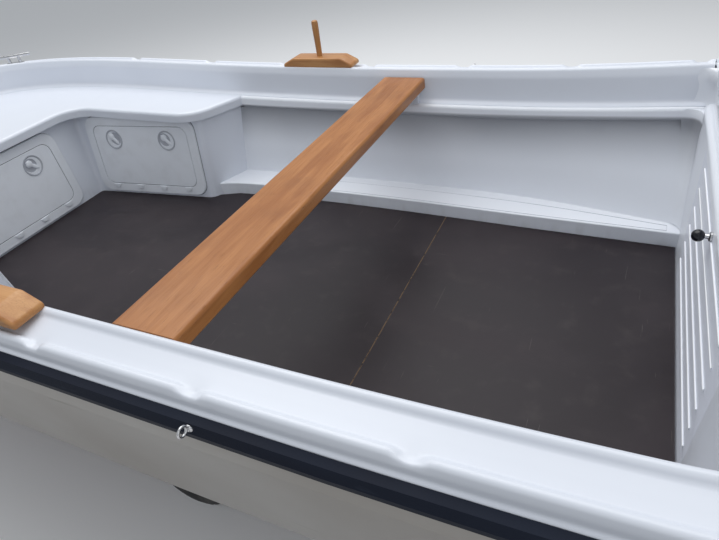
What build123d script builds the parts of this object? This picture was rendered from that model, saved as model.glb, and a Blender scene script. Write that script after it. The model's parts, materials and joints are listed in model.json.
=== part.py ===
from build123d import *
import os
from math import cos, hypot, pi, radians, sin, sqrt, tan

# An open rowing boat in glass fibre, standing on its two-wheeled launching trolley.
# The boat has an outer hull, an inner moulding with a stern bench over three lockers,
# two floorboards, one thwart and a thole pin on each side.
# Boat axes: X from midships to the bow, Y to port, Z up from the ground. Millimetres.

# Heights, laminates and fits
FLOOR_TOP = 500.0
BOARD_THICKNESS = 12.0
SOLE_THICKNESS = 5.0
LAMINATE = 5.0
HULL_LAMINATE = 7.0
SEAT_GAP = 0.3
BOARD_GAP = 3.5
# Farther out than any piece, for solids that only cut
FAR = 3000.0
# Steps round what is small or comes many times
ROD_SIDES = 16
CORNER_STEPS = 4

# Rail: the toe rail's outer edge, seen from above
RAIL_HALF_BEAM = 765.0
STERN_X = -1935.0
STERN_CURVE_X = -750.0
STERN_POWER = 3.3
STEM_X = 2080.0
BOW_CURVE_X = 950.0
NEAR_STERN_X = -1934.0
STATIONS = (
    -1926.0, -1905.0, -1870.0, -1815.0, -1735.0, -1620.0, -1470.0, -1280.0, -1060.0, -820.0,
    -570.0, -320.0, -70.0, 180.0, 430.0, 680.0, 900.0, 1100.0, 1280.0, 1445.0, 1595.0, 1730.0,
    1850.0, 1950.0, 2025.0,
)

# Sheer: the rail's height above the floorboards, flat amidships
SHEER_HEIGHT = 444.0
SHEER_AFT_X = 200.0
SHEER_FORWARD_X = 400.0
SHEER_STEP = 150.0
SHEER_STEPS = 16
SHEER_AFT_RISE = 0.015e-3
SHEER_FORWARD_RISE = 0.05e-3

# Rail sections, each point as inboard of the rail and above it
TOE_RAIL = ((-12, -65.7), (-12, -29), (-5, -24), (0, -3), (6, 0), (12, -1), (18, -8))
INNER_LIP = ((64, 1), (68, 8), (76, 11), (83, 7), (92, -16), (101, -97))
UNDER_LIP = ((96, -97), (86, -17), (64, -6))
UNDER_TOE_RAIL = ((18, -14), (4, -18), (-7, -34), (-7, -65.7))
GUNWALE = TOE_RAIL + INNER_LIP + UNDER_LIP + UNDER_TOE_RAIL
DECK_EDGE = TOE_RAIL + ((70, -8), (70, -13)) + UNDER_TOE_RAIL
RUB_STRAKE = ((-12.3, -30), (-28, -31), (-35, -46), (-34, -57), (-27, -65.7), (-12.3, -65.7))

# Drain notches through the toe rail
NOTCH_PLACES = (-1160.0, -760.0, -385.0, -30.0, 320.0, 672.0, 1030.0)
NOTCH_LENGTH = 30.0
NOTCH_DEPTH = 7.5
NOTCH_INBOARD = 20.0

# Hull section: below the rail a short upright band, then topside, bilge and bottom
HULL_TOP_DROP = 66.7
HULL_TOP_OUTBOARD = 25.0
CREASE_DROP = 112.0
CREASE_INBOARD = 3.0
# Hull rows: place, keel height, share of the breadth at the bilge corner, its height,
# bilge radius. Heights are from the floorboards.
HULL_ROWS = (
    (-1950, -108, 0.86, -72, 50),
    (-1800, -130, 0.875, -74, 80),
    (-1400, -147, 0.89, -72, 115),
    (-700, -150, 0.895, -68, 120),
    (300, -150, 0.895, -68, 120),
    (900, -150, 0.87, -64, 120),
    (1250, -148, 0.79, -52, 118),
    (1500, -138, 0.68, -28, 105),
    (1700, -108, 0.56, 20, 85),
    (1860, -45, 0.45, 95, 60),
    (1975, 60, 0.36, 190, 36),
    (2050, 200, 0.30, 290, 16),
    (2096, 380, 0.30, 405, 4),
)
TRANSOM_X = -1950.0
TRANSOM_THICKNESS = 8.0
HULL_STATIONS = (
    -1950.0, -1935.0, -1912.0, -1875.0, -1820.0, -1740.0, -1625.0, -1475.0, -1285.0, -1060.0,
    -820.0, -570.0, -320.0, -70.0, 180.0, 430.0, 680.0, 900.0, 1100.0, 1280.0, 1445.0, 1595.0,
    1730.0, 1845.0, 1940.0, 2012.0, 2062.0,
)
STEM_STATIONS = (2062.0, 2082.0, 2099.0)
KEEL_BAND_WIDTH = 26.0
KEEL_BAND_THICKNESS = 7.0
KEEL_BAND_STERN_X = -1880.0

# Cockpit sides: station, then how far inside the rail's widest line the side wall's foot
# and the edge of the floorboards run
BULKHEAD_X = 1050.0
COCKPIT_END_X = 1088.0
COCKPIT_SIDES = (
    (-700.0, 177.0, 335.0),
    (-560.0, 171.0, 285.0),
    (0.0, 155.0, 272.0),
    (600.0, 180.0, 291.0),
    (BULKHEAD_X, 257.0, 302.0),
    (COCKPIT_END_X, 264.0, 303.5),
)
LEDGE_DROP = 98.0
COCKPIT_STATIONS = (
    -700.0, -560.0, -400.0, -200.0, 0.0, 200.0, 400.0, 600.0, 825.0, BULKHEAD_X, COCKPIT_END_X,
)
LEDGE_OUTER_Y = RAIL_HALF_BEAM - 93.0
LEDGE_INNER_Y = RAIL_HALF_BEAM - 127.0
FASCIA_DEPTH = 38.0
FASCIA_LIP = 9.0
STEP_HEIGHT = 50.0
STEP_FALL = 4.0

# Stern bench: corners of its inner edge, with their radii
BENCH_EDGE = (
    (-1255.0, RAIL_HALF_BEAM - 367.0),
    (-650.0, RAIL_HALF_BEAM - 338.0),
    (-560.0, RAIL_HALF_BEAM - 125.0),
)
BENCH_CORNER_RADII = (105.0, 130.0)
BENCH_LIP_DEPTH = 36.0
BENCH_LIP_THICKNESS = 6.0
BENCH_OUTER_INBOARD = 92.0
BENCH_END_X = -560.0

# Locker front: one wall with a face across the stern and one along each side
STERN_FACE_X = -1250.0
SIDE_FACE_AFT_Y = RAIL_HALF_BEAM - 393.0
SIDE_FACE_FORWARD_X = -655.0
SIDE_FACE_FORWARD_Y = RAIL_HALF_BEAM - 339.0
LOCKER_WALL_END = (-575.0, RAIL_HALF_BEAM - 150.0)
LEAN_HEIGHT = 330.0
STERN_FACE_LEAN = 32.0
SIDE_FACE_LEAN = 44.0
LOCKER_CORNER_RADIUS = 20.0
LOCKER_END_RADIUS = 40.0

# Hatches
LID_WIDTH = 470.0
LID_HEIGHT = 250.0
LID_THICKNESS = 7.0
LID_CORNER_RADIUS = 34.0
LID_GAP = 2.0
FRAME_WIDTH = 550.0
FRAME_HEIGHT = 326.0
FRAME_CORNER_RADIUS = 52.0
FRAME_THICKNESS = 9.0
FRAME_LIP = 9.0
HATCH_CENTRE_HEIGHT = 168.0
HATCH_CUT = 60.0
SIDE_HATCH_X = -957.0
HINGE_COVER_RADIUS = 17.0
HINGE_COVER_PITCH = 125.0
HINGE_COVER_COUNT = 4
HINGE_COVER_PROUD = 2.5
LATCH_RADIUS = 27.0
LATCH_SPACING = 252.0
LATCH_DROP = 52.0
LATCH_PROUD = 3.0
LATCH_POCKET = 3.0
LATCH_DISH = 2.5

# Bow bulkhead
BULKHEAD_TOP = 378.0
BULKHEAD_SHELF = 35.0
BULKHEAD_BEVEL = 10.0
RIB_HALF_WIDTH = 322.0
RIB_HEIGHT = 5.0
RIB_PROUD = 3.0
RIB_FIRST = 55.5
RIB_PITCH = 54.5
RIB_COUNT = 6
KNOB_HEIGHT = 338.0
KNOB_BALL_RADIUS = 13.0
KNOB_REACH = 38.0
KNOB_STEM_RADIUS = 4.5
KNOB_BASE_RADIUS = 11.0
KNOB_BASE_THICKNESS = 8.0
KNOB_ROOM = 4.0

# Foredeck
FOREDECK_AFT_X = 1064.0
FOREDECK_HALF_WIDTH = RAIL_HALF_BEAM - 115.0
FOREDECK_EDGE_INBOARD = 45.0
FOREDECK_DROP = 8.0
FOREDECK_LIP = 24.0
FOREDECK_LIP_WIDTH = 24.0

# Thwart
THWART_X = 134.0
THWART_WIDTH = 152.0
THWART_THICKNESS = 40.0
THWART_TOP = 430.0
THWART_HALF_LENGTH = RAIL_HALF_BEAM - 101.0
THWART_EDGE_RADIUS = 9.0
BRACKET_LENGTH = 112.0
BRACKET_Y = (LEDGE_INNER_Y + 3.0, LEDGE_OUTER_Y - 11.0)

# Thole pads and pins
PAD_TOP = 40.0
PAD_SECTION = (
    (10, 6), (19, -6.6), (64, 2.0), (67.5, 9.3), (76, 12.2), (82, 11), (82, 31), (74, PAD_TOP),
    (18, PAD_TOP), (10, 32),
)
PAD_AFT_X = -360.0
PAD_FORWARD_X = -70.0
PAD_END_BEVEL = 9.0
PIN_INBOARD = 45.0
PIN_DIAMETER = 24.0
SHANK_DIAMETER = 20.0
PIN_HOLE_GAP = 0.3
PIN_TOP = 611.0
PIN_FOOT = 1.5
PIN_BEVEL = 3.5

# Deck fittings
CLEAT_X = -1745.0
CLEAT_INBOARD = 40.0
CLEAT_FOOT = ((26, -6.1), (54, -0.6), (54, 6), (26, 6))
CLEAT_FOOT_REACH = 30.0
CLEAT_POST_REACH = 22.0
CLEAT_ROD_RADIUS = 7.0
CLEAT_LENGTH = 150.0
CLEAT_HEIGHT = 34.0
EYE_X = 344.0
EYE_RING_RADIUS = 9.0
EYE_WIRE_RADIUS = 2.5
EYE_DROP = 41.0
EYE_COLLAR_RADIUS = 7.0
EYE_COLLAR_THICKNESS = 3.0

# Trolley
AXLE_X = -170.0
WHEEL_RADIUS = 130.0
WHEEL_WIDTH = 82.0
WHEEL_Y = 510.0
WHEEL_SIDES = 32
RIM_RADIUS = 58.0
AXLE_TUBE = 44.0
STUB_RADIUS = 10.0
BORE_GAP = 0.05
RIM_INSET = 16.0
RIM_THICKNESS = 8.0
WEB_THICKNESS = 8.0
HUB_RADIUS = 22.0
HUB_PROUD = 4.0
CAP_RADIUS = 17.0
CAP_THICKNESS = 5.0
SPINE = 50.0
SPINE_AFT_X = -420.0
SPINE_FORWARD_X = 2240.0
TUBE_WALL = 3.0
CROSS_BEAM_X = 420.0
BUNK_Y = 330.0
BUNK_WIDTH = 92.0
BUNK_DEPTH = 46.0
BUNK_AFT_X = -760.0
BUNK_FORWARD_X = 640.0
BUNK_POST = 40.0
BOW_CHOCK_X = 1420.0
LEG_X = 1760.0
HANDLE_LENGTH = 520.0
HANDLE_RADIUS = 16.0
GRIP_LENGTH = 120.0
GRIP_RADIUS = 20.0
GRIP_GAP = 0.7

STERN_LENGTH = STERN_CURVE_X - STERN_X
BOW_LENGTH = STEM_X - BOW_CURVE_X
BOW_RADIUS = (BOW_LENGTH ** 2 + RAIL_HALF_BEAM ** 2) / (2 * RAIL_HALF_BEAM)
SOLE_TOP = FLOOR_TOP - BOARD_THICKNESS
SPINE_BOTTOM = WHEEL_RADIUS + AXLE_TUBE / 2
SPINE_TOP = SPINE_BOTTOM + SPINE
BOARD_SEAM_X = 328.0
BOARD_SEAM_GAP = 1.5
BOTTOM = (Align.CENTER, Align.CENTER, Align.MIN)
# The model's origin lies under the middle of its length
FRONT_X = SPINE_FORWARD_X + HANDLE_RADIUS + GRIP_RADIUS
BACK_X = STERN_X + RUB_STRAKE[2][0]
SHIFT_X = -(FRONT_X + BACK_X) / 2


def sheer(x):
    """Height of the rail at a station."""
    aft = SHEER_AFT_RISE * min(0.0, x - SHEER_AFT_X) ** 2
    forward = SHEER_FORWARD_RISE * max(0.0, x - SHEER_FORWARD_X) ** 2
    return FLOOR_TOP + SHEER_HEIGHT + aft + forward


def rail_breadth(x):
    """Half breadth of the rail at a station."""
    if x < STERN_CURVE_X:
        share = (STERN_CURVE_X - x) / STERN_LENGTH
        return RAIL_HALF_BEAM * max(0.0, 1 - share ** STERN_POWER) ** (1 / STERN_POWER)
    if x > BOW_CURVE_X:
        return RAIL_HALF_BEAM - BOW_RADIUS + sqrt(BOW_RADIUS ** 2 - (x - BOW_CURVE_X) ** 2)
    return RAIL_HALF_BEAM


def rail_outward(x, y):
    """Direction square to the rail, away from the boat."""
    if x > BOW_CURVE_X:
        return Vector(x - BOW_CURVE_X, y + BOW_RADIUS - RAIL_HALF_BEAM, 0).normalized()
    if x < STERN_CURVE_X:
        out_x = -(((STERN_CURVE_X - x) / STERN_LENGTH) ** (STERN_POWER - 1)) / STERN_LENGTH
        out_y = (y / RAIL_HALF_BEAM) ** (STERN_POWER - 1) / RAIL_HALF_BEAM
        return Vector(out_x, out_y, 0).normalized()
    return Vector(0, 1, 0)


def outside_rail(x, distance):
    """Half breadth and rail height of the line that runs a distance outside the rail."""
    rail_x = x
    for _ in range(12):
        bounded = min(max(rail_x, STERN_X + 0.5), STEM_X - 0.5)
        rail_x = x - distance * rail_outward(bounded, rail_breadth(bounded)).X
    bounded = min(max(rail_x, STERN_X + 0.5), STEM_X - 0.5)
    outward = rail_outward(bounded, rail_breadth(bounded))
    return rail_breadth(bounded) + distance * outward.Y, sheer(bounded)


def rail_plane(x, y):
    """Upright plane across the rail: its x runs inboard and its y up."""
    outward = rail_outward(x, y)
    return Plane(origin=(x, y, sheer(x)), x_dir=outward * -1, z_dir=(-outward.Y, outward.X, 0))


def skin(points, thickness):
    """Closed outline of a laminate: the points, and the same line moved to its right."""
    normals = []
    for (x0, y0), (x1, y1) in zip(points, points[1:]):
        length = hypot(x1 - x0, y1 - y0)
        normals.append(((y1 - y0) / length, (x0 - x1) / length))
    moved = []
    for i, (x, y) in enumerate(points):
        before = normals[max(0, i - 1)]
        after = normals[min(len(normals) - 1, i)]
        scale = thickness / (1 + before[0] * after[0] + before[1] * after[1])
        moved.append((x + (before[0] + after[0]) * scale, y + (before[1] + after[1]) * scale))
    return list(points) + moved[::-1]


def across_boat(solid):
    """A port piece's mirror image to starboard."""
    return mirror(solid, about=Plane.XZ)


def both_sides(half):
    """A half and its mirror image over the centreline, as one solid."""
    return half + across_boat(half)


def rail_section(outline, x, y):
    """A section of the rail, in the plane across it."""
    return rail_plane(x, y) * make_face(Polyline(*outline, close=True))


def stem_section(outline):
    """The same section where the two sides meet over the stem, cut on the centreline."""
    stretch = 1 / rail_outward(STEM_X, 0).X
    plane = Plane(origin=(STEM_X, 0, sheer(STEM_X)), x_dir=(-1, 0, 0), z_dir=(0, 1, 0))
    return plane * make_face(Polyline(*[(u * stretch, v) for u, v in outline], close=True))


def along_rail(outline):
    """One section carried along the port rail from the stern to the stem."""
    sections = [rail_section(outline, STERN_X, 0)]
    for x in (NEAR_STERN_X,) + STATIONS:
        sections.append(rail_section(outline, x, rail_breadth(x)))
    sections.append(stem_section(outline))
    return loft(sections)


def box(x_range, y_range, z_range):
    """Box between two places along each axis."""
    size = [high - low for low, high in (x_range, y_range, z_range)]
    centre = [(low + high) / 2 for low, high in (x_range, y_range, z_range)]
    return Pos(*centre) * Box(*size)


def prism(radius, length, sides=ROD_SIDES):
    """Upright rod with flat sides, as wide over its corners as a round one."""
    return extrude(RegularPolygon(radius, sides), amount=length)


def rounded_plate(width, height, radius, thickness):
    """Plate with each corner rounded in short steps."""
    points = []
    for quarter, (side_x, side_y) in enumerate(((1, 1), (-1, 1), (-1, -1), (1, -1))):
        centre_x = side_x * (width / 2 - radius)
        centre_y = side_y * (height / 2 - radius)
        for step in range(CORNER_STEPS + 1):
            angle = radians(90 * (quarter + step / CORNER_STEPS))
            points.append((centre_x + radius * cos(angle), centre_y + radius * sin(angle)))
    return extrude(make_face(Polyline(*points, close=True)), amount=thickness)


def round_corners(points, radii, steps=CORNER_STEPS):
    """An open line with each inner corner rounded to its radius in short steps."""
    line = [points[0]]
    for before, corner, after, radius in zip(points, points[1:], points[2:], radii):
        corner = Vector(*corner)
        back = (Vector(*before) - corner).normalized()
        ahead = (Vector(*after) - corner).normalized()
        half_angle = radians(back.get_angle(ahead) / 2)
        centre = corner + (back + ahead).normalized() * (radius / sin(half_angle))
        first = corner + back * (radius / tan(half_angle)) - centre
        last = corner + ahead * (radius / tan(half_angle)) - centre
        turn = pi - 2 * half_angle
        for step in range(steps + 1):
            angle = turn * step / steps
            spot = centre + (first * sin(turn - angle) + last * sin(angle)) * (1 / sin(turn))
            line.append((spot.X, spot.Y))
    return line + [points[-1]]


def between(row_x, value, rows):
    """Smooth value at a station from rows of a table, by the rows' slopes."""
    xs = [row[0] for row in rows]
    ys = [row[value] for row in rows]
    i = max(0, min(len(xs) - 2, sum(1 for x in xs if x <= row_x) - 1))
    step = xs[i + 1] - xs[i]
    slopes = []
    for k in (i, i + 1):
        low = max(0, k - 1)
        high = min(len(xs) - 1, k + 1)
        slopes.append((ys[high] - ys[low]) / (xs[high] - xs[low]) * step)
    t = (row_x - xs[i]) / step
    rise = ys[i + 1] - ys[i]
    return ys[i] + t * slopes[0] + t ** 2 * (3 * rise - 2 * slopes[0] - slopes[1]) + t ** 3 * (
        slopes[0] + slopes[1] - 2 * rise
    )


def cross_plane(x):
    """Plane across the boat: its x runs to port and its y up."""
    return Plane(origin=(x, 0, 0), x_dir=(0, 1, 0), z_dir=(1, 0, 0))


def hull_corners(x, side, bottom):
    """Corners of half a hull section, drawn in by the laminate's side and bottom."""
    top_y, rail_z = outside_rail(x, HULL_TOP_OUTBOARD)
    corner_y = top_y * between(x, 2, HULL_ROWS)
    keel_z = FLOOR_TOP + between(x, 1, HULL_ROWS)
    corner_z = FLOOR_TOP + between(x, 3, HULL_ROWS)
    return (
        Vector(top_y - side, rail_z - HULL_TOP_DROP),
        Vector(top_y - CREASE_INBOARD - side, rail_z - CREASE_DROP),
        Vector(corner_y - side, corner_z + bottom),
        Vector(0, keel_z + bottom),
    )


def half_section(corners, radius, steps=CORNER_STEPS):
    """Points of half a hull section from its top to the keel, with a round bilge."""
    top, *others = [(corner.X, corner.Y) for corner in corners]
    return [top] + round_corners(others, [radius], steps)


def full_section(half):
    """Half a section's points and their mirror image, from the port top to the starboard top."""
    return half + [(-y, z) for y, z in reversed(half[:-1])]


def hull_section(x):
    """The hull's laminate at a station, from side to side, with a plainer bilge inside."""
    breadth, _ = outside_rail(x, HULL_TOP_OUTBOARD)
    slope = (outside_rail(x + 1, HULL_TOP_OUTBOARD)[0] - outside_rail(x - 1, HULL_TOP_OUTBOARD)[0]) / 2
    side = min(HULL_LAMINATE * sqrt(1 + slope ** 2), 20.0, breadth * 0.5)
    radius = between(x, 4, HULL_ROWS)
    outer = hull_corners(x, 0, 0)
    inner = hull_corners(x, side, HULL_LAMINATE)
    outside = full_section(half_section(outer, radius))
    inside = full_section(half_section(inner, max(radius - HULL_LAMINATE, 2.0), 1))
    return cross_plane(x) * make_face(Polyline(*outside, *reversed(inside), close=True))


def hull_solid_section(x):
    """Face inside the hull's outer surface at a station."""
    outline = full_section(half_section(hull_corners(x, 0, 0), between(x, 4, HULL_ROWS)))
    return cross_plane(x) * make_face(Polyline(*outline, close=True))


def hull_shell():
    """Hull laminate with its flat transom and solid stem."""
    shell = loft([hull_section(x) for x in HULL_STATIONS], ruled=True)
    transom = extrude(hull_solid_section(TRANSOM_X), amount=TRANSOM_THICKNESS, dir=(-1, 0, 0))
    stem = loft([hull_solid_section(x) for x in STEM_STATIONS], ruled=True)
    return shell + transom + stem


def under_hull(start_x, end_x):
    """Solid inside the hull's outer surface between two stations, for shaping what carries it."""
    stations = [start_x] + [x for x in HULL_STATIONS if start_x < x < end_x] + [end_x]
    return loft([hull_solid_section(x) for x in stations], ruled=True)


def keel_band():
    """Strip that covers the keel and the stem."""
    stations = [KEEL_BAND_STERN_X] + [x for x in HULL_STATIONS if x > KEEL_BAND_STERN_X]
    keel = [(x, FLOOR_TOP + between(x, 1, HULL_ROWS)) for x in stations]
    upper = skin(keel, 1.5 * SEAT_GAP)[len(keel):][::-1]
    face = Plane.XZ * make_face(Polyline(*skin(upper, KEEL_BAND_THICKNESS), close=True))
    return extrude(face, amount=KEEL_BAND_WIDTH / 2, both=True)


def under_rail_surface(drop, bottom):
    """Solid over the whole boat, from a low level up to a line that follows the sheer."""
    xs = [SHEER_STEP * i for i in range(-SHEER_STEPS, SHEER_STEPS + 1)]
    line = [(x, sheer(x) - drop) for x in xs] + [(xs[-1], bottom), (xs[0], bottom)]
    face = Plane.XZ * make_face(Polyline(*line, close=True))
    return extrude(face, amount=FAR, both=True)


def side_row(x):
    """Foot of the side wall, edge of the floorboards and ledge height at a station."""
    foot_y = RAIL_HALF_BEAM - between(x, 1, COCKPIT_SIDES)
    board_y = RAIL_HALF_BEAM - between(x, 2, COCKPIT_SIDES)
    return foot_y, board_y, sheer(x) - LEDGE_DROP


def cockpit_side():
    """Port ledge, fascia, side wall and low step, as one laminate."""
    sections = []
    for x in COCKPIT_STATIONS:
        foot_y, board_y, ledge = side_row(x)
        riser_y = board_y + BOARD_GAP
        path = (
            (riser_y, SOLE_TOP),
            (riser_y, FLOOR_TOP + STEP_HEIGHT - STEP_FALL),
            (foot_y, FLOOR_TOP + STEP_HEIGHT),
            (LEDGE_INNER_Y + FASCIA_LIP, ledge - FASCIA_DEPTH - FASCIA_LIP / 2),
            (LEDGE_INNER_Y - 4, ledge - FASCIA_DEPTH),
            (LEDGE_INNER_Y, ledge - 1),
            (LEDGE_OUTER_Y, ledge),
        )
        sections.append(cross_plane(x) * make_face(Polyline(*skin(path, LAMINATE), close=True)))
    under_fascia = sheer(BENCH_END_X) - LEDGE_DROP - FASCIA_DEPTH - FASCIA_LIP
    side = loft(sections) - behind_lockers(-SEAT_GAP)
    return side - box((-FAR, BENCH_END_X + SEAT_GAP), (0, FAR), (under_fascia, FAR))


def cockpit_space():
    """Closed solid of the space between the cockpit's sides, near the bow bulkhead."""
    sections = []
    for x in COCKPIT_STATIONS[-4:]:
        foot_y, board_y, ledge = side_row(x)
        riser_y = board_y + BOARD_GAP - SEAT_GAP
        half = [
            (riser_y, SOLE_TOP),
            (riser_y, FLOOR_TOP + STEP_HEIGHT - STEP_FALL),
            (foot_y - SEAT_GAP, FLOOR_TOP + STEP_HEIGHT),
            (LEDGE_INNER_Y - 4 - SEAT_GAP, ledge - FASCIA_DEPTH),
            (LEDGE_INNER_Y - SEAT_GAP, ledge + 200),
        ]
        outline = half + [(-y, z) for y, z in reversed(half)]
        sections.append(cross_plane(x) * make_face(Polyline(*outline, close=True)))
    return loft(sections) + extrude(sections[-1], amount=BULKHEAD_SHELF, dir=(1, 0, 0))


def board_outline(gap):
    """Half outline of the floorboards, inside the cockpit's sides by a gap, before the lockers cut it."""
    sides = [(x, side_row(x)[1] + BOARD_GAP - gap) for x in COCKPIT_STATIONS if x <= BULKHEAD_X]
    return [(STERN_FACE_X - 20, 0), (STERN_FACE_X - 20, sides[0][1])] + sides + [(BULKHEAD_X, 0)]


def flat_both_sides(half, bottom, thickness):
    """Plate from a half outline and its mirror image."""
    outline = list(half) + [(x, -y) for x, y in reversed(half[1:-1])]
    face = Pos(0, 0, bottom) * make_face(Polyline(*outline, close=True))
    return extrude(face, amount=thickness)


def locker_path(height, outward):
    """Corners of the locker front at a height, moved away from the cockpit, to port."""
    share = (height - FLOOR_TOP) / LEAN_HEIGHT
    stern_x = STERN_FACE_X - STERN_FACE_LEAN * share - outward
    run = Vector(SIDE_FACE_FORWARD_X - STERN_FACE_X, SIDE_FACE_FORWARD_Y - SIDE_FACE_AFT_Y)
    slope = run.Y / run.X
    moved = SIDE_FACE_LEAN * share + outward * run.length / run.X
    corner_y = SIDE_FACE_AFT_Y + moved + slope * (stern_x - STERN_FACE_X)
    forward = (SIDE_FACE_FORWARD_X - outward * 0.35, SIDE_FACE_FORWARD_Y + moved - slope * outward * 0.35)
    end = (LOCKER_WALL_END[0], LOCKER_WALL_END[1] + SIDE_FACE_LEAN * share + outward)
    return [(stern_x, corner_y), forward, end]


def locker_outline(height, outward):
    """Line of the locker front at a height, from starboard to port, with round corners."""
    port = locker_path(height, outward)
    points = [(x, -y) for x, y in reversed(port)] + port
    corner = LOCKER_CORNER_RADIUS + outward
    end = LOCKER_END_RADIUS - outward
    return Polyline(*[(x, y, height) for x, y in round_corners(points, [end, corner, corner, end])])


def locker_faces(outward_near, outward_far):
    """Sections of the locker front between two distances from its face, at its foot and above its top."""
    faces = []
    for height in (SOLE_TOP, FLOOR_TOP + LEAN_HEIGHT + 90):
        near = locker_outline(height, outward_near)
        far = locker_outline(height, outward_far)
        faces.append(make_face([near, far, Line(near @ 0, far @ 0), Line(near @ 1, far @ 1)]))
    return faces


def locker_wall():
    """Locker front with its three hatch openings, up to the underside of the bench."""
    wall = loft(locker_faces(0, LAMINATE), ruled=True)
    wall &= under_rail_surface(LEDGE_DROP + LAMINATE, SOLE_TOP)
    for plane in (SIDE_HATCH, STERN_HATCH):
        opening = plane * Pos(0, 0, -HATCH_CUT) * hatch_plate(-FRAME_LIP, 2 * HATCH_CUT)
        wall -= opening
        if plane is SIDE_HATCH:
            wall -= across_boat(opening)
    return wall


def behind_lockers(outward):
    """Solid of everything behind the locker front, for cutting what stops at it."""
    faces = []
    for height in (SOLE_TOP - SOLE_THICKNESS, FLOOR_TOP + LEAN_HEIGHT + 90):
        line = locker_outline(height, outward)
        start = line @ 0
        end = line @ 1
        corners = [(end.X, FAR), (-FAR, FAR), (-FAR, -FAR), (start.X, -FAR)]
        back = Polyline(end, *[(x, y, height) for x, y in corners], start)
        faces.append(make_face([line, back]))
    return loft(faces, ruled=True)


def hatch_plane_side():
    """Plane on the port locker's face at its hatch: x forward, y up, z into the cockpit."""
    run = Vector(SIDE_FACE_FORWARD_X - STERN_FACE_X, SIDE_FACE_FORWARD_Y - SIDE_FACE_AFT_Y, 0)
    rise = Vector(0, SIDE_FACE_LEAN, LEAN_HEIGHT)
    part = (SIDE_HATCH_X - STERN_FACE_X) / run.X
    foot = Vector(STERN_FACE_X, SIDE_FACE_AFT_Y, FLOOR_TOP) + run * part
    centre = foot + rise * (HATCH_CENTRE_HEIGHT / LEAN_HEIGHT)
    return Plane(origin=centre, x_dir=run, z_dir=run.cross(rise))


def hatch_plane_stern():
    """Plane on the stern locker's face at its hatch: x to port, y up, z into the cockpit."""
    rise = Vector(-STERN_FACE_LEAN, 0, LEAN_HEIGHT)
    centre = Vector(STERN_FACE_X, 0, FLOOR_TOP) + rise * (HATCH_CENTRE_HEIGHT / LEAN_HEIGHT)
    return Plane(origin=centre, x_dir=(0, 1, 0), z_dir=Vector(0, 1, 0).cross(rise))


SIDE_HATCH = hatch_plane_side()
STERN_HATCH = hatch_plane_stern()


def hatch_plate(border, thickness):
    """Rounded plate around the lid, wider by a border on each side."""
    return rounded_plate(
        LID_WIDTH + 2 * border, LID_HEIGHT + 2 * border, LID_CORNER_RADIUS + border, thickness
    )


def hatch_frame():
    """Hatch frame on its plane, with a lip behind the lid and covers over the hinges."""
    body = rounded_plate(FRAME_WIDTH, FRAME_HEIGHT, FRAME_CORNER_RADIUS, FRAME_THICKNESS)
    body = chamfer(body.faces().sort_by(Axis.Z)[-1].outer_wire().edges(), 3)
    body -= Pos(0, 0, FRAME_THICKNESS - LID_THICKNESS - SEAT_GAP) * hatch_plate(LID_GAP, FRAME_THICKNESS)
    body -= hatch_plate(-FRAME_LIP, FRAME_THICKNESS)
    cover = prism(HINGE_COVER_RADIUS, HINGE_COVER_PROUD)
    cover -= box((-FAR, FAR), (-3, FAR), (-FAR, FAR))
    for i in range(HINGE_COVER_COUNT):
        x = (i - (HINGE_COVER_COUNT - 1) / 2) * HINGE_COVER_PITCH
        body += Pos(x, -LID_HEIGHT / 2 - LID_GAP + 1.5, FRAME_THICKNESS) * cover
    return body


def latch_places():
    """Middles of the lid's two latches, on the hatch's plane."""
    return [Pos(x, LID_HEIGHT / 2 - LATCH_DROP, 0) for x in (-LATCH_SPACING / 2, LATCH_SPACING / 2)]


def hatch_lid():
    """Lid on the hatch's plane, hinged at the foot of its outer face, with two latch pockets."""
    panel = hatch_plate(0, LID_THICKNESS)
    panel = chamfer(panel.faces().sort_by(Axis.Z)[-1].edges(), 1.5)
    for place in latch_places():
        panel -= place * Pos(0, 0, LID_THICKNESS - LATCH_POCKET) * prism(LATCH_RADIUS, LID_THICKNESS)
    return Pos(0, 0, FRAME_THICKNESS - LID_THICKNESS) * panel


def hatch_latches():
    """Two turning latches, each a dish with a finger bar across it."""
    latches = []
    for place in latch_places():
        dish = prism(LATCH_RADIUS - SEAT_GAP, LATCH_DISH)
        reach = LATCH_RADIUS * 0.7
        bar = box((-6, 6), (-reach, reach), (LATCH_DISH, 2 * LATCH_DISH + LATCH_PROUD))
        latches.append(place * Pos(0, 0, FRAME_THICKNESS - LATCH_POCKET + SEAT_GAP) * (dish + bar))
    return Compound(latches)


def cockpit_hole(widening):
    """Plan of the opening in the stern bench, widened towards the boat's sides."""
    port = list(BENCH_EDGE) + [(0.0, BENCH_EDGE[-1][1])]
    points = port + [(x, -y) for x, y in reversed(port)]
    hole = make_face(Polyline(*points, close=True))
    for (x, y), radius in zip(BENCH_EDGE, BENCH_CORNER_RADII):
        vertices = [v for v in hole.vertices() if abs(v.X - x) < 0.1 and abs(abs(v.Y) - y) < 0.1]
        hole = fillet(vertices, radius)
    return offset(hole, amount=widening) if widening else hole


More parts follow.
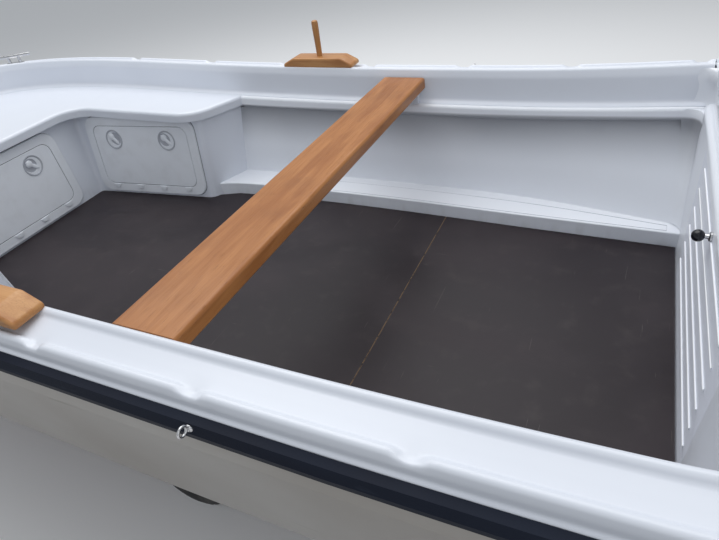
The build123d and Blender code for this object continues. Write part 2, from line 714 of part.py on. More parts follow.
def stern_bench():
    """Bench top with the lip that hangs along its inner edge."""
    low = FLOOR_TOP + 150
    outer = []
    for x in [STERN_X, NEAR_STERN_X] + [x for x in STATIONS if x < BENCH_END_X] + [BENCH_END_X]:
        y = 0 if x == STERN_X else rail_breadth(x)
        outer.append(Vector(x, y) - rail_outward(x, y) * BENCH_OUTER_INBOARD)
    port = Spline(*outer)
    last = Vector(BENCH_END_X, outer[-1].Y)
    edges = [port, mirror(port, about=Plane.XZ), Line(last, Vector(last.X, -last.Y))]
    region = make_face(edges)
    plate = extrude(Pos(0, 0, low) * (region - cockpit_hole(0)), amount=500)
    plate &= under_rail_surface(LEDGE_DROP, low)
    plate -= under_rail_surface(LEDGE_DROP + LAMINATE, low - 10)
    ring = cockpit_hole(BENCH_LIP_THICKNESS) - cockpit_hole(0)
    lip = extrude(Pos(0, 0, low) * (ring & region), amount=500)
    lip &= under_rail_surface(LEDGE_DROP + LAMINATE / 2, low)
    lip -= under_rail_surface(LEDGE_DROP + BENCH_LIP_DEPTH, low - 10)
    return plate + lip


def bow_bulkhead():
    """Ribbed panel at the bow end of the cockpit, set back above, with room for its knob."""
    top = FLOOR_TOP + BULKHEAD_TOP
    upper = sheer(FOREDECK_AFT_X) - FOREDECK_DROP - FOREDECK_LIP
    back = BULKHEAD_X + BULKHEAD_SHELF
    path = (
        (BULKHEAD_X, SOLE_TOP),
        (BULKHEAD_X, top - BULKHEAD_BEVEL),
        (BULKHEAD_X + BULKHEAD_BEVEL, top),
        (back, top),
        (back, upper),
    )
    outline = make_face(Polyline(*skin(path, LAMINATE), close=True))
    panel = extrude(Plane.XZ * outline, amount=FAR, both=True)
    panel &= cockpit_space()
    for i in range(RIB_COUNT):
        z = FLOOR_TOP + RIB_FIRST + i * RIB_PITCH
        depth = (BULKHEAD_X - RIB_PROUD, BULKHEAD_X + LAMINATE / 2)
        rib = box(depth, (-RIB_HALF_WIDTH, RIB_HALF_WIDTH), (z, z + RIB_HEIGHT))
        panel += rib - knob_base(KNOB_ROOM)
    return panel


def gunwale_moulding():
    """Toe rail, side deck and raised inner lip, from the stern to the foredeck."""
    half = along_rail(GUNWALE) & box((-FAR, FOREDECK_AFT_X - SEAT_GAP), (-FAR, FAR), (0, FAR))
    for x in NOTCH_PLACES:
        half -= drain_notch(x)
    return both_sides(half)


def drain_notch(x):
    """Cutter for one gap in the port toe rail, with sloping ends."""
    half = NOTCH_LENGTH / 2
    top = NOTCH_DEPTH / 2
    spread = half + NOTCH_DEPTH + top
    outline = ((-half, -NOTCH_DEPTH), (half, -NOTCH_DEPTH), (spread, top), (-spread, top))
    across = Plane(origin=(NOTCH_INBOARD, 0, 0), x_dir=(0, 0, 1), z_dir=(-1, 0, 0))
    cutter = extrude(across * make_face(Polyline(*outline, close=True)), amount=2 * NOTCH_INBOARD)
    return rail_plane(x, rail_breadth(x)) * cutter


def foredeck():
    """Deck ahead of the cockpit with its toe rail and a lip along its aft edge."""
    beyond = box((FOREDECK_AFT_X, FAR), (-FAR, FAR), (0, FAR))
    edge = both_sides(along_rail(DECK_EDGE) & beyond)
    inner = []
    for x in [FOREDECK_AFT_X] + [x for x in STATIONS if x > FOREDECK_AFT_X]:
        y = rail_breadth(x)
        inner.append(Vector(x, y) - rail_outward(x, y) * FOREDECK_EDGE_INBOARD)
    inner[0] = Vector(FOREDECK_AFT_X, rail_breadth(FOREDECK_AFT_X) - FOREDECK_EDGE_INBOARD)
    tip = Vector(STEM_X - FOREDECK_EDGE_INBOARD, 0)
    middle = Vector(FOREDECK_AFT_X, 0)
    half = make_face([Polyline(*inner, tip), Line(tip, middle), Line(middle, inner[0])])
    region = half + mirror(half, about=Plane.XZ)
    plate = extrude(Pos(0, 0, FLOOR_TOP + 300) * region, amount=500)
    plate &= under_rail_surface(FOREDECK_DROP, FLOOR_TOP + 300)
    plate -= under_rail_surface(FOREDECK_DROP + LAMINATE, FLOOR_TOP + 200)
    lip_z = sheer(FOREDECK_AFT_X) - FOREDECK_DROP
    lip_x = (FOREDECK_AFT_X, FOREDECK_AFT_X + FOREDECK_LIP_WIDTH)
    lip = box(lip_x, (-FOREDECK_HALF_WIDTH, FOREDECK_HALF_WIDTH), (lip_z - FOREDECK_LIP, lip_z + 8))
    lip = chamfer([e for e in lip.edges().filter_by(Axis.Y) if e.center().X < FOREDECK_AFT_X + 1], 5)
    return edge + plate + lip


def thwart():
    """Plank across the boat, round along its edges."""
    z = FLOOR_TOP + THWART_TOP
    plank = box(
        (THWART_X - THWART_WIDTH / 2, THWART_X + THWART_WIDTH / 2),
        (-THWART_HALF_LENGTH, THWART_HALF_LENGTH),
        (z - THWART_THICKNESS, z),
    )
    return fillet(plank.edges().filter_by(Axis.Y), THWART_EDGE_RADIUS)


def thwart_brackets():
    """Block between the ledge and the thwart on each side."""
    low = sheer(THWART_X) - LEDGE_DROP + SEAT_GAP
    high = FLOOR_TOP + THWART_TOP - THWART_THICKNESS
    half = BRACKET_LENGTH / 2
    port = box((THWART_X - half, THWART_X + half), BRACKET_Y, (low, high))
    return Compound([port, across_boat(port)])


def thole_pad():
    """Port thole pad, seated on the gunwale and bored for its pin."""
    ends = [rail_section(PAD_SECTION, x, RAIL_HALF_BEAM) for x in (PAD_AFT_X, PAD_FORWARD_X)]
    pad = loft(ends, ruled=True)
    ends = pad.faces().filter_by(Axis.X)
    top_edges = [e for face in ends for e in face.edges() if e.center().Z > sheer(PAD_AFT_X) + 28]
    pad = chamfer(top_edges, PAD_END_BEVEL * 0.9)
    return pad - thole_shank(PIN_HOLE_GAP, FLOOR_TOP, FLOOR_TOP + PIN_TOP)


def thole_place(z):
    """Place on the port thole pin's axis."""
    return Pos((PAD_AFT_X + PAD_FORWARD_X) / 2, RAIL_HALF_BEAM - PIN_INBOARD, z)


def thole_shank(widening, low, high):
    """Shank of the port thole pin, widened for its hole."""
    return thole_place(low) * prism(SHANK_DIAMETER / 2 + widening, high - low)


def thole_pin():
    """Port thole pin: a shank in the pad, and above it a thicker rod with a bevelled top."""
    shoulder = sheer(PAD_AFT_X) + PAD_TOP + SEAT_GAP
    rod = Cylinder(PIN_DIAMETER / 2, FLOOR_TOP + PIN_TOP - shoulder, align=BOTTOM)
    rod = thole_place(shoulder) * chamfer(rod.edges().sort_by(Axis.Z)[-1], PIN_BEVEL)
    return rod + thole_shank(0, sheer(PAD_AFT_X) + PIN_FOOT, shoulder)


def cleat():
    """Port quarter cleat: a foot on the side deck, two posts and a horn bar."""
    plane = rail_plane(CLEAT_X, rail_breadth(CLEAT_X))
    places = (CLEAT_X - CLEAT_FOOT_REACH, CLEAT_X, CLEAT_X + CLEAT_FOOT_REACH)
    foot = loft([rail_section(CLEAT_FOOT, x, rail_breadth(x)) for x in places])
    upright = Rot(-90, 0, 0) * prism(CLEAT_ROD_RADIUS, CLEAT_HEIGHT)
    posts = [Pos(CLEAT_INBOARD, 0, z) * upright for z in (-CLEAT_POST_REACH, CLEAT_POST_REACH)]
    bar = prism(CLEAT_ROD_RADIUS, CLEAT_LENGTH)
    bar = chamfer(bar.faces().filter_by(Axis.Z).edges(), CLEAT_ROD_RADIUS / 2)
    bar = Pos(CLEAT_INBOARD, CLEAT_HEIGHT, -CLEAT_LENGTH / 2) * bar
    return plane * (posts[0] + posts[1] + bar) + foot


def strake_eye():
    """Port ring eye, which stands on a collar against the rubbing strake."""
    face_y = RAIL_HALF_BEAM - RUB_STRAKE[2][0] + SEAT_GAP
    centre = EYE_COLLAR_THICKNESS + EYE_RING_RADIUS
    outer = prism(EYE_RING_RADIUS + EYE_WIRE_RADIUS, 2 * EYE_WIRE_RADIUS)
    outer = chamfer(outer.faces().filter_by(Axis.Z).edges(), EYE_WIRE_RADIUS * 0.6)
    ring = outer - prism(EYE_RING_RADIUS - EYE_WIRE_RADIUS, 2 * EYE_WIRE_RADIUS)
    ring = Rot(0, 90, 0) * Pos(0, centre, -EYE_WIRE_RADIUS) * ring
    collar = Rot(-90, 0, 0) * prism(EYE_COLLAR_RADIUS, EYE_COLLAR_THICKNESS)
    return Pos(EYE_X, face_y, sheer(EYE_X) - EYE_DROP) * (ring + collar)


def knob_base(widening):
    """Round base of the knob against the bulkhead, widened on every side."""
    base = prism(KNOB_BASE_RADIUS + widening, KNOB_BASE_THICKNESS + widening)
    return Pos(BULKHEAD_X - SEAT_GAP, 0, FLOOR_TOP + KNOB_HEIGHT) * Rot(0, -90, 0) * base


def knob():
    """Ball knob on a stem at the top of the bulkhead's panel."""
    low = KNOB_REACH - 2 * KNOB_BALL_RADIUS
    ball = prism(KNOB_BALL_RADIUS, 2 * KNOB_BALL_RADIUS)
    ball = chamfer(ball.faces().filter_by(Axis.Z).edges(), KNOB_BALL_RADIUS * 0.55)
    stem = prism(KNOB_STEM_RADIUS, low + KNOB_BALL_RADIUS)
    place = Pos(BULKHEAD_X - SEAT_GAP, 0, FLOOR_TOP + KNOB_HEIGHT) * Rot(0, -90, 0)
    return knob_base(0) + place * (stem + Pos(0, 0, low) * ball)


def axle_beam():
    """Square axle tube with a stub at each end for the wheels."""
    half = WHEEL_Y - WHEEL_WIDTH / 2 - 12
    side = AXLE_TUBE / 2
    beam = box((AXLE_X - side, AXLE_X + side), (-half, half), (WHEEL_RADIUS - side, WHEEL_RADIUS + side))
    reach = WHEEL_Y + WHEEL_WIDTH / 2 + HUB_PROUD + SEAT_GAP
    stub = Pos(AXLE_X, 0, WHEEL_RADIUS) * Rot(90, 0, 0) * Cylinder(STUB_RADIUS, 2 * reach)
    return beam + stub


def tyre():
    """Small pneumatic tyre with bulged sides and a crowned tread."""
    half = WHEEL_WIDTH / 2
    side = (
        (RIM_RADIUS + 10, half - 14),
        (WHEEL_RADIUS - 32, half),
        (WHEEL_RADIUS - 9, half - 9),
        (WHEEL_RADIUS, half - 28),
    )
    rings = list(side) + [(radius, -place) for radius, place in reversed(side)]
    discs = [Pos(0, 0, place) * RegularPolygon(radius, WHEEL_SIDES) for radius, place in rings]
    wheel = loft(discs, ruled=True)
    wheel -= Pos(0, 0, -half) * prism(RIM_RADIUS + SEAT_GAP * 2, WHEEL_WIDTH, WHEEL_SIDES)
    return Pos(AXLE_X, WHEEL_Y, WHEEL_RADIUS) * Rot(90, 0, 0) * wheel


def rim():
    """Pressed rim with a web and a hub that is bored for the axle stub."""
    width = WHEEL_WIDTH - 2 * RIM_INSET
    length = WHEEL_WIDTH + 2 * HUB_PROUD
    band = prism(RIM_RADIUS, width, WHEEL_SIDES) - prism(RIM_RADIUS - RIM_THICKNESS, width, WHEEL_SIDES)
    web = prism(RIM_RADIUS - RIM_THICKNESS / 2, WEB_THICKNESS, WHEEL_SIDES)
    wheel = Pos(0, 0, -width / 2) * band + Pos(0, 0, -WEB_THICKNESS / 2) * web
    wheel += Pos(0, 0, -length / 2) * prism(HUB_RADIUS, length)
    wheel -= Cylinder(STUB_RADIUS + BORE_GAP, length)
    return Pos(AXLE_X, WHEEL_Y, WHEEL_RADIUS) * Rot(90, 0, 0) * wheel


def hub_cap():
    """Cap that holds the port wheel, over the end of its stub."""
    y = WHEEL_Y + WHEEL_WIDTH / 2 + HUB_PROUD + 2 * SEAT_GAP
    cap = prism(CAP_RADIUS, CAP_THICKNESS)
    cap = chamfer(cap.faces().sort_by(Axis.Z)[-1].edges(), CAP_THICKNESS / 2)
    return Pos(AXLE_X, y, WHEEL_RADIUS) * Rot(-90, 0, 0) * cap


def square_tube(x_range, y, z_range, size):
    """Open square tube along the boat."""
    outer = box(x_range, (y - size / 2, y + size / 2), z_range)
    inner_z = (z_range[0] + TUBE_WALL, z_range[1] - TUBE_WALL)
    inner = box(x_range, (y - size / 2 + TUBE_WALL, y + size / 2 - TUBE_WALL), inner_z)
    return outer - inner


def spine():
    """Drawbar along the trolley's middle."""
    return square_tube((SPINE_AFT_X, SPINE_FORWARD_X), 0, (SPINE_BOTTOM, SPINE_TOP), SPINE)


def cross_beam():
    """Beam across the spine that carries the bunks' forward posts."""
    half = BUNK_Y + BUNK_POST / 2
    size = BUNK_POST / 2
    return box((CROSS_BEAM_X - size, CROSS_BEAM_X + size), (-half, half), (SPINE_TOP, SPINE_TOP + BUNK_POST))


def bunk_bottom():
    """Underside of the bunk boards."""
    return FLOOR_TOP + between(0, 1, HULL_ROWS) - BUNK_DEPTH


def bunk():
    """Port bunk board, shaped to the hull's bottom."""
    low = bunk_bottom()
    y_range = (BUNK_Y - BUNK_WIDTH / 2, BUNK_Y + BUNK_WIDTH / 2)
    block = box((BUNK_AFT_X, BUNK_FORWARD_X), y_range, (low, low + 140))
    return block - Pos(0, 0, -SEAT_GAP) * under_hull(BUNK_AFT_X - 40, BUNK_FORWARD_X + 40)


def bunk_posts():
    """Posts from the axle and the cross beam up to the bunks."""
    half = BUNK_POST / 2
    posts = []
    for x, low in ((AXLE_X, WHEEL_RADIUS + AXLE_TUBE / 2), (CROSS_BEAM_X, SPINE_TOP + BUNK_POST)):
        for side in (-1, 1):
            y = side * BUNK_Y
            posts.append(box((x - half, x + half), (y - half, y + half), (low, bunk_bottom())))
    return Compound(posts)


def bow_chock():
    """Post and pad that carry the forefoot."""
    half = 45.0
    block = box((BOW_CHOCK_X - half, BOW_CHOCK_X + half), (-80, 80), (SPINE_TOP + 70, FLOOR_TOP - 60))
    pad = block - Pos(0, 0, -SEAT_GAP - KEEL_BAND_THICKNESS) * under_hull(BOW_CHOCK_X - 90, BOW_CHOCK_X + 90)
    slot = box((BOW_CHOCK_X - 60, BOW_CHOCK_X + 60), (-14, 14), (SPINE_TOP + 110, FLOOR_TOP))
    pad -= slot
    post = box((BOW_CHOCK_X - 20, BOW_CHOCK_X + 20), (-20, 20), (SPINE_TOP, SPINE_TOP + 70))
    return post + pad


def prop_leg():
    """Front leg that the trolley parks on."""
    leg = box((LEG_X - 20, LEG_X + 20), (-20, 20), (8, SPINE_BOTTOM))
    foot = box((LEG_X - 55, LEG_X + 55), (-70, 70), (0, 8))
    return leg + chamfer(foot.edges().filter_by(Axis.Z), 12)


def handle():
    """Cross bar at the end of the drawbar."""
    z = SPINE_BOTTOM + SPINE / 2
    return Pos(SPINE_FORWARD_X + HANDLE_RADIUS, 0, z) * Rot(90, 0, 0) * Cylinder(HANDLE_RADIUS, HANDLE_LENGTH)


def handle_grips():
    """Two rubber grips, one at each end of the handle."""
    z = SPINE_BOTTOM + SPINE / 2
    sleeve = prism(GRIP_RADIUS, GRIP_LENGTH) - prism(HANDLE_RADIUS + GRIP_GAP, GRIP_LENGTH)
    starts = (HANDLE_LENGTH / 2, GRIP_LENGTH - HANDLE_LENGTH / 2)
    return Compound([Pos(SPINE_FORWARD_X + HANDLE_RADIUS, y, z) * Rot(90, 0, 0) * sleeve for y in starts])


def floor_board(x_range):
    """One floorboard between two stations."""
    board = flat_both_sides(board_outline(BOARD_GAP), SOLE_TOP, BOARD_THICKNESS) - behind_lockers(-BOARD_GAP)
    return board & box(x_range, (-FAR, FAR), (0, FAR))


def sole():
    """Plate under the floorboards."""
    return flat_both_sides(board_outline(-LAMINATE), SOLE_TOP - SOLE_THICKNESS, SOLE_THICKNESS)


def build():
    """Every piece of the boat and its trolley, by node name."""
    nodes = {
        "hull_shell": hull_shell(),
        "keel_band": keel_band(),
        "rub_strake": both_sides(along_rail(RUB_STRAKE)),
        "gunwale_moulding": gunwale_moulding(),
        "foredeck": foredeck(),
        "bow_bulkhead": bow_bulkhead(),
        "bulkhead_knob": knob(),
        "cockpit_sole": sole(),
        "floorboard_aft": floor_board((-FAR, BOARD_SEAM_X - BOARD_SEAM_GAP / 2)),
        "floorboard_forward": floor_board((BOARD_SEAM_X + BOARD_SEAM_GAP / 2, BULKHEAD_X - BOARD_GAP)),
        "stern_bench": stern_bench(),
        "locker_front": locker_wall(),
        "thwart": thwart(),
        "thwart_brackets": thwart_brackets(),
        "axle_beam": axle_beam(),
        "trolley_spine": spine(),
        "cross_beam": cross_beam(),
        "bunk_posts": bunk_posts(),
        "bow_chock": bow_chock(),
        "prop_leg": prop_leg(),
        "trolley_handle": handle(),
        "handle_grips": handle_grips(),
        "hatch_frame_stern": STERN_HATCH * hatch_frame(),
        "hatch_lid_stern": STERN_HATCH * hatch_lid(),
        "hatch_latches_stern": STERN_HATCH * hatch_latches(),
    }
    port_pieces = {
        "cockpit_side": cockpit_side(),
        "hatch_frame": SIDE_HATCH * hatch_frame(),
        "hatch_lid": SIDE_HATCH * hatch_lid(),
        "hatch_latches": SIDE_HATCH * hatch_latches(),
        "thole_pad": thole_pad(),
        "thole_pin": thole_pin(),
        "cleat": cleat(),
        "strake_eye": strake_eye(),
        "bunk": bunk(),
        "tyre": tyre(),
        "rim": rim(),
        "hub_cap": hub_cap(),
    }
    for name, piece in port_pieces.items():
        nodes[name + "_port"] = piece
        nodes[name + "_starboard"] = across_boat(piece)
    return nodes


os.makedirs("parts", exist_ok=True)
for node, piece in build().items():
    export_step(Pos(SHIFT_X, 0, 0) * piece, "parts/" + node + ".step")
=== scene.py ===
"""The looks of an open rowing boat on its launching trolley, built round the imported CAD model."""

from __future__ import annotations

import json
import logging
import math
import sys
from dataclasses import dataclass, field
from enum import Enum
from typing import Callable, Iterable, Sequence

import bmesh
import bpy
from mathutils import Matrix, Vector
from mathutils.bvhtree import BVHTree

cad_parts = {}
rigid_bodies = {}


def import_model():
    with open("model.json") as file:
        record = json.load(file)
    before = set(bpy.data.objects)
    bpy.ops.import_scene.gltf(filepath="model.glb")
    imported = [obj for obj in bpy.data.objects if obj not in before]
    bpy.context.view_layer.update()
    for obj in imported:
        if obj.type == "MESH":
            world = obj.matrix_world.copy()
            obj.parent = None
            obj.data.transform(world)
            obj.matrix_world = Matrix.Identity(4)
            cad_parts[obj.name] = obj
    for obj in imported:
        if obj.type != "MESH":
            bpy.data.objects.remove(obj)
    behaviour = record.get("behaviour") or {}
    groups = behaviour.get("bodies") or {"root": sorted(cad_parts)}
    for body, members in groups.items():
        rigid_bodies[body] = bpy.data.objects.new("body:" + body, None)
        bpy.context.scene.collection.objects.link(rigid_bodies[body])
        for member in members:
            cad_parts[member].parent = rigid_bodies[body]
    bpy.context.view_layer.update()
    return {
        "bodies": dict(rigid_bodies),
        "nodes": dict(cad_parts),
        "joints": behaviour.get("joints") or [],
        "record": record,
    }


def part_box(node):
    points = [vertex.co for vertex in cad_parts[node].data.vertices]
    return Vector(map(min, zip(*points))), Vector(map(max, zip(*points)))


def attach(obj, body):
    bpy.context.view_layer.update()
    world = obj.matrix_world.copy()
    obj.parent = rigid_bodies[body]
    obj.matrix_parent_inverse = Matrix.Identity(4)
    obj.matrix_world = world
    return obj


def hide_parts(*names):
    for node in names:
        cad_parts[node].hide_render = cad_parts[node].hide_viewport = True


log = logging.getLogger("rowing_boat")

Point = tuple[float, float, float]
Pair = tuple[float, float]
Object = bpy.types.Object
Material = bpy.types.Material

BOAT_X = -0.153
"""Midships in the frame's X, in metres."""
FLOOR = 0.5
"""Top of the floorboards above the ground, in metres."""
EVEN: Point = (1.0, 1.0, 1.0)
"""The scales of a texture that is stretched along no axis."""


class Side(Enum):
    """The boat's two sides, with the sign of Y on each."""

    PORT = 1
    STARBOARD = -1

    @property
    def word(self) -> str:
        """The side's name as the nodes spell it."""
        return self.name.lower()


class Axis(Enum):
    """The frame's axes."""

    X = "X"
    Y = "Y"
    Z = "Z"


class Sheen(Enum):
    """How a coloured surface reflects: its roughness and its clear coat."""

    GLOSSY = (0.12, 0.0)
    SATIN = (0.38, 0.12)
    DULL = (0.62, 0.0)
    FLAT = (0.85, 0.0)


# Shader graph


class Wire:
    """One output socket of a node tree, which takes part in Python arithmetic."""

    def __init__(self, graph: "Graph", socket: bpy.types.NodeSocket) -> None:
        """Wraps a socket.

        Args:
            graph: The graph that the socket belongs to.
            socket: The output socket.
        """
        self.graph = graph
        self.socket = socket

    def _maths(self, operation: str, first: object, second: object) -> "Wire":
        """Adds one Math node.

        Args:
            operation: The node's operation.
            first: Its first value or wire.
            second: Its second value or wire.

        Returns:
            The node's output.
        """
        return self.graph.add("ShaderNodeMath", {"operation": operation}, {0: first, 1: second})

    def __add__(self, other: object) -> "Wire":
        """Sum."""
        return self._maths("ADD", self, other)

    __radd__ = __add__

    def __sub__(self, other: object) -> "Wire":
        """Difference."""
        return self._maths("SUBTRACT", self, other)

    def __rsub__(self, other: object) -> "Wire":
        """Difference, the other way round."""
        return self._maths("SUBTRACT", other, self)

    def __mul__(self, other: object) -> "Wire":
        """Product."""
        return self._maths("MULTIPLY", self, other)

    def __abs__(self) -> "Wire":
        """Size without sign."""
        return self._maths("ABSOLUTE", self, 0.0)

    def most(self, other: object) -> "Wire":
        """The greater of two."""
        return self._maths("MAXIMUM", self, other)

    def ramp(self, low: float, high: float) -> "Wire":
        """Smooth step.

        Args:
            low: The value that gives 0.
            high: The value that gives 1.

        Returns:
            A mask from 0 to 1.
        """
        settings = {"interpolation_type": "SMOOTHSTEP"}
        if low > high:
            return 1.0 - self.ramp(high, low)
        return self.graph.add("ShaderNodeMapRange", settings, {0: self, 1: low, 2: high, 3: 0.0, 4: 1.0})


class Graph:
    """A material's node tree, built from Python expressions."""

    def __init__(self, name: str) -> None:
        """Starts an empty material.

        Args:
            name: The material's name.
        """
        self.material = bpy.data.materials.new(name)
        self.material.use_nodes = True
        self.tree = self.material.node_tree
        self.tree.nodes.clear()
        self._place = None

    def node(self, kind: str, settings: dict | None = None, inputs: dict | None = None) -> bpy.types.Node:
        """Adds a node.

        Args:
            kind: The node's type.
            settings: Its properties, set first.
            inputs: Values or wires by socket name or number.

        Returns:
            The node.
        """
        made = self.tree.nodes.new(kind)
        for key, value in (settings or {}).items():
            setattr(made, key, value)
        for key, value in (inputs or {}).items():
            if isinstance(value, Wire):
                self.tree.links.new(value.socket, made.inputs[key])
            else:
                made.inputs[key].default_value = value
        return made

    def add(
        self,
        kind: str,
        settings: dict | None = None,
        inputs: dict | None = None,
        output: int | str = 0,
    ) -> Wire:
        """Adds a node and wraps one of its outputs.

        Args:
            kind: The node's type.
            settings: Its properties.
            inputs: Its values or wires.
            output: The output's name or number.

        Returns:
            The output.
        """
        return Wire(self, self.node(kind, settings, inputs).outputs[output])

    def place(self) -> Wire:
        """The point's place in the frame, in metres."""
        if self._place is None:
            self._place = self.add("ShaderNodeTexCoord", output="Object")
        return self._place

    def axis(self, axis: Axis) -> Wire:
        """One coordinate of the place.

        Args:
            axis: The axis.

        Returns:
            The coordinate in metres.
        """
        return self.add("ShaderNodeSeparateXYZ", inputs={0: self.place()}, output=axis.value)

    def stretched(self, scale: Point) -> Wire:
        """The place scaled along each axis.

        Args:
            scale: The three scales.

        Returns:
            The scaled place.
        """
        return self.add("ShaderNodeMapping", inputs={"Vector": self.place(), "Scale": scale}, output="Vector")

    def noise(self, scale: float, detail: float = 3.0, stretch: Point = EVEN, twist: float = 0.0) -> Wire:
        """Fractal noise round 0.5.

        Args:
            scale: Features for each metre.
            detail: Octaves.
            stretch: Scales of the place along each axis.
            twist: Distortion.

        Returns:
            The noise.
        """
        inputs = {"Vector": self.stretched(stretch), "Scale": scale, "Detail": detail, "Distortion": twist}
        return self.add("ShaderNodeTexNoise", inputs=inputs)

    def cells(self, scale: float) -> Wire:
        """Voronoi cells, each with a colour of its own.

        Args:
            scale: Cells for each metre.

        Returns:
            The cells' colours.
        """
        inputs = {"Vector": self.stretched(EVEN), "Scale": scale}
        return self.add("ShaderNodeTexVoronoi", inputs=inputs, output="Color")

    def blend(self, mask: object, low: object, high: object) -> Wire:
        """Mixes two colours.

        Args:
            mask: 0 gives the first and 1 the second.
            low: The first colour, three numbers or a wire.
            high: The second colour.

        Returns:
            The mixed colour.
        """
        first = low if isinstance(low, Wire) else (*low, 1.0)
        second = high if isinstance(high, Wire) else (*high, 1.0)
        settings = {"data_type": "RGBA", "clamp_factor": True}
        return self.add("ShaderNodeMix", settings, {0: mask, 6: first, 7: second}, output=2)

    def surface(
        self,
        colour: object,
        roughness: object,
        metallic: float = 0.0,
        coat: float = 0.0,
        height: Wire | None = None,
        relief: float = 0.0005,
        sheen: float = 0.0,
        specular: float = 0.5,
    ) -> Material:
        """Ends the graph in one shader.

        Args:
            colour: Base colour, three numbers or a wire.
            roughness: Roughness, a number or a wire.
            metallic: Metallic share.
            coat: Weight of the clear coat.
            height: Relief as a value, if any.
            relief: What a height of 1 stands for, in metres.
            sheen: Weight of cloth-like sheen.
            specular: Specular level.

        Returns:
            The material.
        """
        base = colour if isinstance(colour, Wire) else (*colour, 1.0)
        inputs = {
            "Base Color": base,
            "Roughness": roughness,
            "Metallic": metallic,
            "Coat Weight": coat,
            "Coat Roughness": 0.12,
            "Sheen Weight": sheen,
            "Specular IOR Level": specular,
        }
        if height is not None:
            bump = {"Height": height, "Distance": relief, "Strength": 1.0}
            inputs["Normal"] = self.add("ShaderNodeBump", inputs=bump, output="Normal")
        shader = self.node("ShaderNodeBsdfPrincipled", inputs=inputs)
        output = self.node("ShaderNodeOutputMaterial")
        self.tree.links.new(shader.outputs[0], output.inputs[0])
        return self.material


# Finishes


@dataclass(frozen=True)
class WhiteGelcoat:
    """The white inner moulding: faintly clouded in colour and gloss, with a little grime by the boards.

    A side wall can also take painted shade that darkens it towards its ledge, standing for the shade
    under the ledge's overhang. The levels of that painted shade are heights above the boards amidships.
    """

    name: str = "white_gelcoat"
    colour: Point = (0.76, 0.795, 0.865)
    shade: Point = (0.69, 0.725, 0.80)
    grime: Point = (0.42, 0.40, 0.36)
    grime_share: float = 0.2
    painted_shade_weight: float = 0.0
    ledge_shade: Point = (0.30, 0.31, 0.34)
    shade_levels: Pair = (0.15, 0.318)
    shade_end: Pair = (0.324, 0.314)

    def material(self) -> Material:
        """Builds the finish."""
        graph = Graph(self.name)
        patches = graph.noise(2.3, 3.0).ramp(0.35, 0.7)
        colour = graph.blend(patches * 0.45, self.colour, self.shade)
        height = graph.axis(Axis.Z)
        near_boards = height.ramp(FLOOR + 0.055, FLOOR - 0.005)
        streaks = graph.noise(26.0, 4.0, (1, 1, 0.25)).ramp(0.45, 0.75)
        colour = graph.blend(near_boards * streaks * self.grime_share, colour, self.grime)
        # Painted shade: a band of the wall under its ledge is darkened, standing for the shade of the ledge's
        # overhang.
        if self.painted_shade_weight:
            rise = abs(graph.axis(Axis.X) - BOAT_X).ramp(0.3, 1.6) * 0.03
            level = height - rise - FLOOR
            painted_shade_mask = level.ramp(*self.shade_levels) * level.ramp(*self.shade_end)
            colour = graph.blend(painted_shade_mask * self.painted_shade_weight, colour, self.ledge_shade)
        return graph.surface(colour, 0.31 + patches * 0.12, coat=0.2)


@dataclass(frozen=True)
class RibbedPanel:
    """The bow bulkhead: white, with a duller and gritty ground behind its white ribs, which carry a painted
    highlight.
    """

    colour: Point = (0.84, 0.87, 0.93)
    ground: Point = (0.82, 0.85, 0.93)
    rib: Point = (0.90, 0.92, 0.95)
    half_width: float = 0.342
    spread: float = 0.147
    face: float = BOAT_X + 1.050
    top_end: Pair = (0.352, 0.346)

    def material(self) -> Material:
        """Builds the finish."""
        graph = Graph("ribbed_panel")
        height = graph.axis(Axis.Z) - FLOOR
        edge = self.half_width + height * self.spread - abs(graph.axis(Axis.Y))
        inside = edge.ramp(-0.003, 0.003) * height.ramp(*self.top_end)
        # Painted highlight: the ribs' proud parts are paler than the white border, partly their own white and
        # partly standing for the light their edges catch.
        painted_rib_highlight = graph.axis(Axis.X).ramp(self.face - 0.0004, self.face - 0.0010)
        worn = 0.78 + graph.noise(11.0, 4.0) * 0.36
        colour = graph.blend(inside * worn, self.colour, self.ground)
        colour = graph.blend(painted_rib_highlight, colour, self.rib)
        rough = 0.3 + inside * 0.25
        grit = graph.noise(900.0, 2.0) * inside
        return graph.surface(colour, rough, coat=0.1, height=grit, relief=0.0004)


